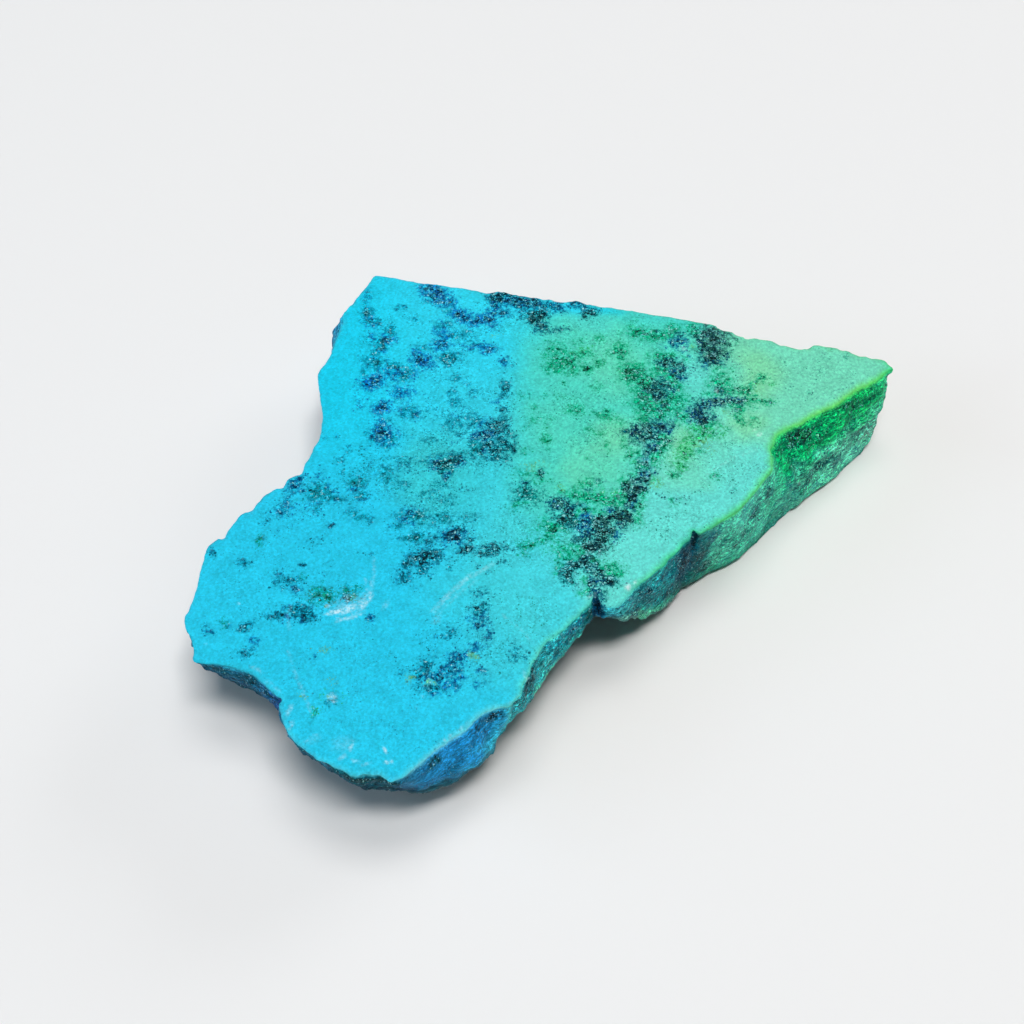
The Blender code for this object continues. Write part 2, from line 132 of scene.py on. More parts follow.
# --------------------------------------------------------- side wall profiles
# One row per station around the rim:
#   rim x, y | shoulder out, z | lip out, z | foot x, y
# "out" is measured away from the rim along the smoothed outline's normal;
# minus is an undercut.
STATIONS = [
    (-21.4, 35.6,  0.0, 11.0, -1.0, 2.2, -19.6, 32.8),
    (-12.0, 33.7,  0.1, 10.8, -0.6, 1.6, -11.6, 31.4),
    (0.5, 31.2,    0.3, 10.6, -0.4, 1.2,   0.0, 29.2),
    (10.0, 29.6,   0.2, 10.8, -0.6, 1.5,   9.6, 27.6),
    (18.9, 27.35,  0.0, 10.8, -0.8, 1.6,  18.0, 25.4),
    (25.0, 24.9,   0.3, 10.4, -0.4, 1.6,  24.6, 23.2),
    (31.0, 24.1,   0.2, 10.6, -0.8, 1.4,  30.8, 22.2),
    (36.3, 22.5,   0.1, 10.8, -0.3, 1.2,  36.4, 21.4),
    (38.9, 20.5,   0.2, 10.4,  0.2, 1.0,  38.4, 20.1),
    (37.0, 18.95,  0.9,  9.4,  0.9, 0.8,  37.2, 18.6),
    (34.0, 17.0,   1.3,  8.6,  1.5, 0.8,  34.6, 15.4),
    (29.8, 13.95,  2.0,  8.0,  2.4, 0.8,  30.9, 12.4),
    (26.0, 11.5,   2.9,  7.4,  3.1, 0.8,  28.0,  9.9),
    (24.2, 9.4,    3.0,  7.4,  2.3, 0.8,  25.9,  7.7),
    (23.65, 5.8,   0.8,  8.8,  0.6, 0.8,  24.0,  5.5),
    (21.3, 2.15,   0.1,  9.6,  0.15, 0.8, 21.4,  2.3),
    (18.0, -1.3,   0.1, 10.0, -1.0, 0.8,  17.4,  0.6),
    (15.2, -3.4,   0.0, 10.0, -0.9, 1.1,  14.6, -0.8),
    (12.6, -5.75,  0.1, 10.0, -0.2, 1.8,  11.2, -3.0),
    (10.0, -8.5,   0.2,  9.6,  0.0, 3.3,   7.6, -4.6),
    (7.0, -11.3,   0.6, 10.0,  0.4, 7.3,   4.8, -5.8),
    (4.9, -12.6,   0.6, 10.8,  0.4, 9.4,   2.6, -6.6),
    (3.4, -12.0,   0.2, 10.8, -0.1, 8.6,   0.6, -7.0),
    (1.25, -14.5,  0.3, 10.6,  0.15, 7.3, -1.2, -9.4),
    (-1.9, -17.75, 0.3, 10.4,  0.3, 6.2,  -3.8, -13.0),
    (-3.9, -22.25, 0.5,  9.8,  0.3, 7.2,  -7.4, -17.0),
    (-4.8, -24.4,  0.1, 10.4, -0.8, 5.6,  -8.0, -19.0),
    (-6.0, -25.1,  0.5,  9.6, -0.3, 5.7,  -9.0, -20.8),
    (-7.5, -25.6,  0.9,  7.5,  0.7, 4.6, -10.0, -22.2),
    (-9.0, -27.0,  1.7,  7.5,  0.75, 4.6, -11.2, -23.6),
    (-11.0, -28.7, 1.7,  7.6,  0.7, 4.4, -12.6, -25.0),
    (-13.5, -31.0, 1.1,  9.0, -0.1, 4.6, -14.4, -26.8),
    (-16.2, -33.4, 0.1, 11.0, -2.0, 5.1, -16.8, -27.6),
    (-20.0, -32.9, 0.1, 10.6, -1.5, 6.1, -19.4, -26.8),
    (-24.3, -31.1, -0.1, 11.0, -1.6, 7.0, -21.8, -24.8),
    (-27.4, -27.6, 0.0, 11.0, -1.1, 6.8, -24.0, -21.8),
    (-28.3, -24.6, 0.2, 10.6, -0.9, 6.6, -25.0, -19.4),
    (-31.0, -21.4, 0.4, 10.2, -1.3, 6.0, -27.2, -16.8),
    (-37.3, -19.7, -0.1, 11.0, -1.5, 7.0, -31.6, -13.8),
    (-38.9, -14.2, -0.2, 10.8, -1.3, 7.0, -32.4, -10.4),
    (-37.8, -7.5, -0.2, 10.6, -1.2, 6.4, -31.6, -5.8),
    (-34.5, -1.0, -0.3, 10.4, -1.3, 6.0, -28.4, -0.6),
    (-30.0, 3.2,  -0.3, 10.4, -1.2, 6.0, -24.8,  3.6),
    (-27.5, 7.4,  -0.3, 10.4, -1.1, 5.0, -22.8,  8.2),
    (-26.4, 13.0, -0.2, 10.4, -0.9, 4.4, -22.2, 13.4),
    (-27.3, 19.4, -0.2, 10.4, -1.0, 3.8, -22.8, 19.0),
    (-25.5, 25.0,  0.3, 10.8, -0.4, 3.2, -22.2, 23.8),
    (-24.7, 27.6,  1.7, 10.7,  0.4, 2.8, -21.8, 27.0),
    (-24.9, 29.4,  0.3, 10.8, -0.4, 2.6, -21.4, 28.8),
    (-23.4, 32.0,  0.0, 10.8, -0.8, 2.4, -20.6, 31.0),
]


# ============================================================ numeric helpers
def smooth(a, b, x):
    t = np.clip((x - a) / (b - a), 0.0, 1.0)
    return t * t * (3 - 2 * t)


def mix(a, b, t):
    """Blend of two colours at n amounts, as (n, 3)."""
    a, b = np.atleast_2d(a), np.atleast_2d(b)
    return a + (b - a) * np.asarray(t, float)[:, None]


def _hash(i, j, k, salt):
    h = (i.astype(np.uint64) * np.uint64(374761393)
         + j.astype(np.uint64) * np.uint64(668265263)
         + k.astype(np.uint64) * np.uint64(2246822519)
         + np.uint64(salt * 3266489917 % (1 << 32))) & np.uint64(0xFFFFFFFF)
    h = ((h ^ (h >> np.uint64(13))) * np.uint64(1274126177)) & np.uint64(0xFFFFFFFF)
    h = ((h ^ (h >> np.uint64(15))) * np.uint64(2246822519)) & np.uint64(0xFFFFFFFF)
    return ((h ^ (h >> np.uint64(16))) & np.uint64(0xFFFFFFFF)).astype(float) / 4294967296.0


def noise(p, salt=0):
    """Gradient noise, about -1 to 1, at (n, 3) points."""
    p = np.asarray(p, float) + 1000.0
    c = np.floor(p).astype(np.int64)
    f = p - c
    w = f * f * f * (f * (f * 6 - 15) + 10)
    out = np.zeros(len(p))
    for dx in (0, 1):
        for dy in (0, 1):
            for dz in (0, 1):
                i, j, k = c[:, 0] + dx, c[:, 1] + dy, c[:, 2] + dz
                g = [_hash(i, j, k, salt * 3 + s) * 2 - 1 for s in (1, 2, 3)]
                d = (g[0] * (f[:, 0] - dx) + g[1] * (f[:, 1] - dy)
                     + g[2] * (f[:, 2] - dz))
                out += d * ((w[:, 0] if dx else 1 - w[:, 0])
                            * (w[:, 1] if dy else 1 - w[:, 1])
                            * (w[:, 2] if dz else 1 - w[:, 2]))
    return out * 1.5


def fbm(p, octaves=3, salt=0, gain=0.5):
    out = np.zeros(len(p))
    amp = 1.0
    for o in range(octaves):
        out += amp * noise(np.asarray(p) * (2.03 ** o), salt + o * 11)
        amp *= gain
    return out


def cells(p, salt=0):
    """Nearest-cell data at (n, 3) points: distance to the nearest seed, the
    vector to it, the gap to the second nearest, and three random numbers."""
    p = np.asarray(p, float) + 1000.0
    c = np.floor(p).astype(np.int64)
    n = len(p)
    d1 = np.full(n, 9.0)
    d2 = np.full(n, 9.0)
    vec = np.zeros((n, 3))
    rnd = np.zeros((n, 3))
    for dx in (-1, 0, 1):
        for dy in (-1, 0, 1):
            for dz in (-1, 0, 1):
                i, j, k = c[:, 0] + dx, c[:, 1] + dy, c[:, 2] + dz
                s = np.stack([i + _hash(i, j, k, salt + 21),
                              j + _hash(i, j, k, salt + 22),
                              k + _hash(i, j, k, salt + 23)], 1)
                v = p - s
                d = np.sqrt((v * v).sum(1))
                near = d < d1
                d2 = np.where(near, d1, np.minimum(d2, d))
                d1 = np.where(near, d, d1)
                vec[near] = v[near]
                r = np.stack([_hash(i, j, k, salt + 31), _hash(i, j, k, salt + 32),
                              _hash(i, j, k, salt + 33)], 1)
                rnd[near] = r[near]
    return d1, vec, d2 - d1, rnd


def facets(p, scale, salt=0):
    """Broken-stone relief: every cell is a small plane with its own tilt."""
    _, vec, _, rnd = cells(np.asarray(p) * scale, salt)
    return ((rnd * 2 - 1) * vec).sum(1)


def srgb(c):
    """Display colour 0-255 to linear."""
    c = np.clip(np.asarray(c, float) / 255.0, 0, 1)
    return np.where(c <= 0.04045, c / 12.92, ((c + 0.055) / 1.055) ** 2.4)


# ============================================================ rim and profile
def spline_closed(points, per_mm=14):
    """Dense centripetal Catmull-Rom curve through a closed list of points."""
    p = np.array(points, float)
    n = len(p)
    out = []
    for i in range(n):
        a, b, c, d = p[i - 1], p[i], p[(i + 1) % n], p[(i + 2) % n]
        t0 = 0.0
        t1 = t0 + math.sqrt(max(np.linalg.norm(b - a), 1e-6))
        t2 = t1 + math.sqrt(max(np.linalg.norm(c - b), 1e-6))
        t3 = t2 + math.sqrt(max(np.linalg.norm(d - c), 1e-6))
        m = max(2, int(np.linalg.norm(c - b) * per_mm))
        t = np.linspace(t1, t2, m, endpoint=False)[:, None]
        a1 = (t1 - t) / (t1 - t0) * a + (t - t0) / (t1 - t0) * b
        a2 = (t2 - t) / (t2 - t1) * b + (t - t1) / (t2 - t1) * c
        a3 = (t3 - t) / (t3 - t2) * c + (t - t2) / (t3 - t2) * d
        b1 = (t2 - t) / (t2 - t0) * a1 + (t - t0) / (t2 - t0) * a2
        b2 = (t3 - t) / (t3 - t1) * a2 + (t - t1) / (t3 - t1) * a3
        out.append((t2 - t) / (t2 - t1) * b1 + (t - t1) / (t2 - t1) * b2)
    return np.vstack(out)


def arc_positions(line):
    step = np.linalg.norm(np.roll(line, -1, axis=0) - line, axis=1)
    return np.concatenate([[0.0], np.cumsum(step)[:-1]]), float(step.sum())


def smooth_closed(line, arc, length, width):
    """Average along the outline with a Gaussian window."""
    gap = np.abs(arc[:, None] - arc[None, :])
    gap = np.minimum(gap, length - gap)
    step = np.linalg.norm(np.roll(line[:, :2], -1, axis=0)
                          - np.roll(line[:, :2], 1, axis=0), axis=1)
    w = np.exp(-0.5 * (gap / width) ** 2) * step[None, :]
    return (w @ line) / w.sum(axis=1)[:, None]


def outward_normals(line):
    t = np.roll(line, -1, axis=0) - np.roll(line, 1, axis=0)
    n = np.stack([-t[:, 1], t[:, 0]], axis=1)
    return n / np.linalg.norm(n, axis=1)[:, None]


def around(keys, values, arc, length):
    """Smooth periodic interpolation of station values."""
    order = np.argsort(keys)
    k = np.asarray(keys, float)[order]
    v = np.asarray(values, float)[order]
    k = np.concatenate([[k[-1] - length], k, [k[0] + length]])
    v = np.concatenate([v[-1:], v, v[:1]])
    i = np.clip(np.searchsorted(k, arc, side="right") - 1, 0, len(k) - 2)
    t = (arc - k[i]) / (k[i + 1] - k[i])
    s = t * t * (3 - 2 * t)
    if v.ndim > 1:
        s = s[:, None]
    return v[i] * (1 - s) + v[i + 1] * s


def resample(line, weight):
    """Closed line resampled so that point density follows the weight."""
    step = np.linalg.norm(np.roll(line, -1, axis=0) - line, axis=1)
    w = step * 0.5 * (weight + np.roll(weight, -1))
    s = np.concatenate([[0.0], np.cumsum(w)])
    count = int(round(s[-1]))
    target = np.arange(count) * s[-1] / count
    x = np.interp(target, s, np.append(line[:, 0], line[0, 0]))
    y = np.interp(target, s, np.append(line[:, 1], line[0, 1]))
    return np.stack([x, y], 1)


FINE_COLUMN = 0.25         # spacing of columns on the walls that face front
COARSE_COLUMN = 0.36       # and on the back and left
COLUMN_ROWS = 44           # rows from rim to foot

dense = spline_closed(RIM)
d_arc, d_len = arc_positions(dense)
front = smooth(0.45, 0.05, outward_normals(dense)[:, 1])
k = int(3.0 / (d_len / len(dense)))
kernel = np.hanning(2 * k + 1)
kernel /= kernel.sum()
front = np.convolve(np.concatenate([front[-k:], front, front[:k]]), kernel, "valid")
rim2 = resample(dense, 1.0 / (COARSE_COLUMN + (FINE_COLUMN - COARSE_COLUMN) * front))
N = len(rim2)
arc, LENGTH = arc_positions(rim2)


def arc_at(x, y):
    """Arc position of the rim point nearest to (x, y)."""
    return float(arc[np.argmin(np.hypot(rim2[:, 0] - x, rim2[:, 1] - y))])


def arc_gap(a, centre):
    """Signed distance along the rim from a centre, shortest way round."""
    g = (np.asarray(a) - centre + LENGTH / 2) % LENGTH - LENGTH / 2
    return g


table = np.array(STATIONS, float)
keys = [arc_at(s[0], s[1]) for s in table]
v = [around(keys, table[:, c], arc, LENGTH) for c in range(2, 8)]
soft = smooth_closed(rim2, arc, LENGTH, 1.2)
softer = smooth_closed(rim2, arc, LENGTH, 2.6)
normal2 = outward_normals(smooth_closed(rim2, arc, LENGTH, 2.0))
shoulder2 = 0.5 * (rim2 + soft) + normal2 * v[0][:, None]
lip2 = 0.3 * rim2 + 0.7 * softer + normal2 * v[2][:, None]
foot2 = smooth_closed(np.stack([v[4], v[5]], axis=1), arc, LENGTH, 2.4)
edge_n = outward_normals(smooth_closed(rim2, arc, LENGTH, 0.5))

# the rim itself is a broken line: small nicks on top of the outline
nick = (0.07 * noise(np.column_stack([rim2 * 0.9, np.full(N, 3.0)]), 1)
        + 0.05 * noise(np.column_stack([rim2 * 2.1, np.full(N, 5.0)]), 2))
rim2 = rim2 + edge_n * nick[:, None]

rim3 = np.column_stack([rim2, np.full(N, THICKNESS)])
shoulder3 = np.column_stack([shoulder2, v[1]])
lip3 = np.column_stack([lip2, v[3]])
foot3 = np.column_stack([foot2, np.zeros(N)])

# one polyline per column, finely stepped
path = [rim3]
for t in np.linspace(0, 1, 9)[1:]:
    path.append(rim3 + (shoulder3 - rim3) * t)
for t in np.linspace(0, 1, 11)[1:]:
    path.append(shoulder3 + (lip3 - shoulder3) * t)
LIP_INDEX = len(path) - 1
for t in np.linspace(0, 1, 15)[1:]:
    p = lip3 + (foot3 - lip3) * (1 - (1 - t) ** 1.15)
    p[:, 2] = lip3[:, 2] * (1 - t ** 1.1)
    path.append(p)
path = np.stack(path, 1)                       # (N, K, 3)
for _ in range(2):                             # take the kinks off a little
    mid = 0.25 * path[:, :-2] + 0.5 * path[:, 1:-1] + 0.25 * path[:, 2:]
    path[:, 1:-1] = mid
seg = np.linalg.norm(np.diff(path, axis=1), axis=2)
walk = np.concatenate([np.zeros((N, 1)), np.cumsum(seg, 1)], 1)
lip_walk = smooth_closed(np.column_stack([rim2, walk[:, LIP_INDEX]]), arc,
                         LENGTH, 0.8)[:, 2]
foot_walk = walk[:, -1]
# rows: close together just under the rim, even down the wall, wide underneath
WALL_ROWS = 31
u = np.linspace(0, 1, WALL_ROWS)
grid = np.zeros((N, COLUMN_ROWS))
first = np.array([0.0, 0.07, 0.16, 0.3])
for i in range(N):
    lw = lip_walk[i]
    near = first * min(1.0, lw / 2.0)
    rest = near[-1] + (lw - near[-1]) * np.linspace(0, 1, WALL_ROWS - 3)[1:]
    under = lw + (foot_walk[i] - lw) * (np.linspace(0, 1, COLUMN_ROWS - WALL_ROWS + 1)[1:] ** 1.1)
    grid[i] = np.concatenate([near, rest, under])
wall = np.zeros((N, COLUMN_ROWS, 3))
for i in range(N):
    for c in range(3):
        wall[i, :, c] = np.interp(grid[i], walk[i], path[i, :, c])
down = grid                                     # mm walked down from the rim
frac = down / lip_walk[:, None]                 # 1 at the lip
A = np.repeat(arc[:, None], COLUMN_ROWS, 1)


def grid_normals(w):
    da = np.roll(w, -1, 0) - np.roll(w, 1, 0)
    db = np.zeros_like(w)
    db[:, 1:-1] = w[:, 2:] - w[:, :-2]
    db[:, 0] = w[:, 1] - w[:, 0]
    db[:, -1] = w[:, -1] - w[:, -2]
    n = np.cross(db, da)
    n /= np.maximum(np.linalg.norm(n, axis=2), 1e-9)[..., None]
    return n


wall_n = grid_normals(wall)
if (wall_n[:, 5, :2] * normal2).sum(1).mean() < 0:
    wall_n = -wall_n
P = wall.reshape(-1, 3)
a_flat, d_flat, f_flat = A.ravel(), down.ravel(), frac.ravel()
FROM_RIM = smooth(0.0, 0.9, d_flat)             # relief fades in under the rim
ON_WALL = 1 - smooth(0.95, 1.25, f_flat)


def region(x0, y0, x1, y1, soft=1.5):
    """1 for wall points between two rim places (clockwise), soft ends."""
    a0, a1 = arc_at(x0, y0), arc_at(x1, y1)
    half = ((a1 - a0) % LENGTH) / 2
    g = np.abs(arc_gap(a_flat, a0 + half))
    return smooth(half + soft, half - soft, g)


SCOOP = region(38.0, 19.8, 24.0, 8.8, 0.9)
RIGHT = region(24.0, 8.4, 15.4, -3.2, 0.8)
LOBE = region(14.2, -3.8, 4.6, -12.5, 0.8)
FRONT = region(3.4, -12.2, -4.6, -24.2, 0.6)
FACET = region(-5.2, -24.8, -15.6, -33.2, 0.7)
BAND = region(-15.8, -33.4, -27.8, -26.6, 0.9)
NOTCH = region(-28.2, -24.4, -37.3, -19.8, 0.5)

# relief of the broken walls
disp = (0.30 * fbm(P * 0.33, 2, 40) + 0.16 * facets(P, 0.62, 41)
        + 0.10 * facets(P, 1.35, 42) + 0.085 * noise(P * 2.4, 43)
        + 0.050 * noise(P * 4.4, 44))
disp += (1 - ON_WALL) * (0.28 * facets(P, 0.33, 45) + 0.12 * noise(P * 0.8, 46))
# long ridges that run with the rim: scoop, facet and the thin front band
run = np.column_stack([a_flat * 0.16 + 0.25 * d_flat, d_flat * 1.15, np.full(len(P), 2.0)])
disp += SCOOP * (0.20 * noise(run, 50) + 0.10 * noise(run * 2.1, 51)) * smooth(1.05, 0.8, f_flat)
run = np.column_stack([a_flat * 0.28 - 0.5 * d_flat, d_flat * 2.3, np.full(len(P), 7.0)])
disp += (FRONT + FACET * smooth(0.45, 0.75, f_flat) + RIGHT * 0.6) * 0.07 * noise(run, 52)
lam = np.column_stack([a_flat * 0.22, P[:, 2] * 2.6, np.full(len(P), 4.0)])
disp += (BAND + NOTCH + 0.6 * LOBE) * (0.10 * noise(lam, 53) + 0.05 * noise(lam * 2.0, 54))
# the facet is a smooth shell-like break with faint ripples
disp *= 1 - 0.72 * FACET * smooth(0.62, 0.42, f_flat)
ripple = np.sin((d_flat * 2.4 + 0.9 * noise(P * 0.3, 55)) * 2.1)
disp += FACET * smooth(0.62, 0.42, f_flat) * 0.028 * ripple
disp *= FROM_RIM
disp[f_flat > 0.999 * (foot_walk / lip_walk).repeat(COLUMN_ROWS)] = 0.0


def groove(x, y, slope, width, depth, reach):
    """A crack that starts at a rim place and runs down the wall."""
    g = arc_gap(a_flat, arc_at(x, y)) - slope * d_flat
    w = width * (1 + 0.25 * noise(P * 0.9, 60))
    return -depth * np.exp(-(g / w) ** 2) * smooth(reach, reach * 0.4, d_flat) \
        * smooth(-0.1, 0.25, d_flat)


disp += groove(14.5, -3.0, 0.0, 0.60, 0.40, 4.0)
disp += groove(3.75, -11.3, -0.04, 0.95, 0.25, 4.0)
disp += groove(24.0, 8.8, 0.10, 0.35, 0.35, 5.0)
disp += groove(-28.1, -24.2, 0.0, 0.45, 0.35, 3.0)
disp *= 1 - 0.5 * (SCOOP + RIGHT) * smooth(0.6, 1.0, f_flat) * ON_WALL
# ledge at the lower edge of the scoop: a ridge that catches the light
g = arc_gap(a_flat, arc_at(29.8, 13.95))
disp += 0.30 * np.exp(-((d_flat - (5.6 + 0.05 * g)) / 0.7) ** 2) * SCOOP
# lip edges: a thin bright ridge along the lower edge of the thin walls
disp += (FRONT + LOBE * 0.8 + FACET * 0.5) * 0.12 * np.exp(-((f_flat - 0.97) / 0.09) ** 2)
wall = (P + wall_n.reshape(-1, 3) * disp[:, None]).reshape(N, COLUMN_ROWS, 3)
wall[:, 1:-1, 2] = np.clip(wall[:, 1:-1, 2], 0.06, THICKNESS - 0.015)
wall[:, -1, 2] = 0.0

# ================================================================ sawn face
GRID = 0.265               # spacing of the face's own points
EDGE_KEEP = 0.16           # how near the rim they come
lo, hi = rim2.min(0), rim2.max(0)
rows_y = np.arange(lo[1], hi[1], GRID * 0.866)
pts = []
for r, yy in enumerate(rows_y):
    # the rim crosses each row at these x positions
    a, b = rim2, np.roll(rim2, -1, 0)
    hit = (a[:, 1] > yy) != (b[:, 1] > yy)
    xs = np.sort(a[hit, 0] + (yy - a[hit, 1]) / (b[hit, 1] - a[hit, 1])
                 * (b[hit, 0] - a[hit, 0]))
    for x0, x1 in zip(xs[::2], xs[1::2]):
        row = np.arange(math.ceil((x0 - lo[0]) / GRID), math.floor((x1 - lo[0]) / GRID) + 1)
        x = lo[0] + row * GRID + (r % 2) * GRID / 2
        x = x[(x > x0 + 0.05) & (x < x1 - 0.05)]
        pts.append(np.column_stack([x, np.full(len(x), yy)]))
inner = np.vstack(pts)
inner += RNG.uniform(-0.24, 0.24, inner.shape) * GRID
tree = KDTree(N)
for i in range(N):
    tree.insert((rim2[i, 0], rim2[i, 1], 0.0), i)
tree.balance()
rim_gap = np.array([tree.find((p[0], p[1], 0.0))[2] for p in inner])
inner = inner[rim_gap > EDGE_KEEP]
rim_gap = rim_gap[rim_gap > EDGE_KEEP]
flat = [Vector(p) for p in rim2] + [Vector(p) for p in inner]
cdt = delaunay_2d_cdt(flat, [], [list(range(N))[::-1]], 1, 1e-7, True)
if len(cdt[0]) != len(flat):
    print("note: the face triangulation added", len(cdt[0]) - len(flat), "points")
order = {}
for new, old in enumerate(cdt[3]):
    for o in old:
        order[o] = new
top_tris = np.array([list(f) for f in cdt[2]])
back = np.zeros(len(cdt[0]), int)
for o, nw in order.items():
    back[nw] = o
top_tris = back[top_tris]


def inside(points, loop):
    """Which points lie inside a closed line."""
    a, b = loop, np.roll(loop, -1, 0)
    out = np.zeros(len(points), bool)
    for k in range(len(loop)):
        hit = (a[k, 1] > points[:, 1]) != (b[k, 1] > points[:, 1])
        if hit.any():
            x = a[k, 0] + (points[hit, 1] - a[k, 1]) / (b[k, 1] - a[k, 1]) * (b[k, 0] - a[k, 0])
            out[hit] ^= points[hit, 0] < x
    return out


top_tris = top_tris[inside(np.vstack([rim2, inner])[top_tris].mean(1), rim2)]
inner3 = np.column_stack([inner, np.full(len(inner), THICKNESS)])
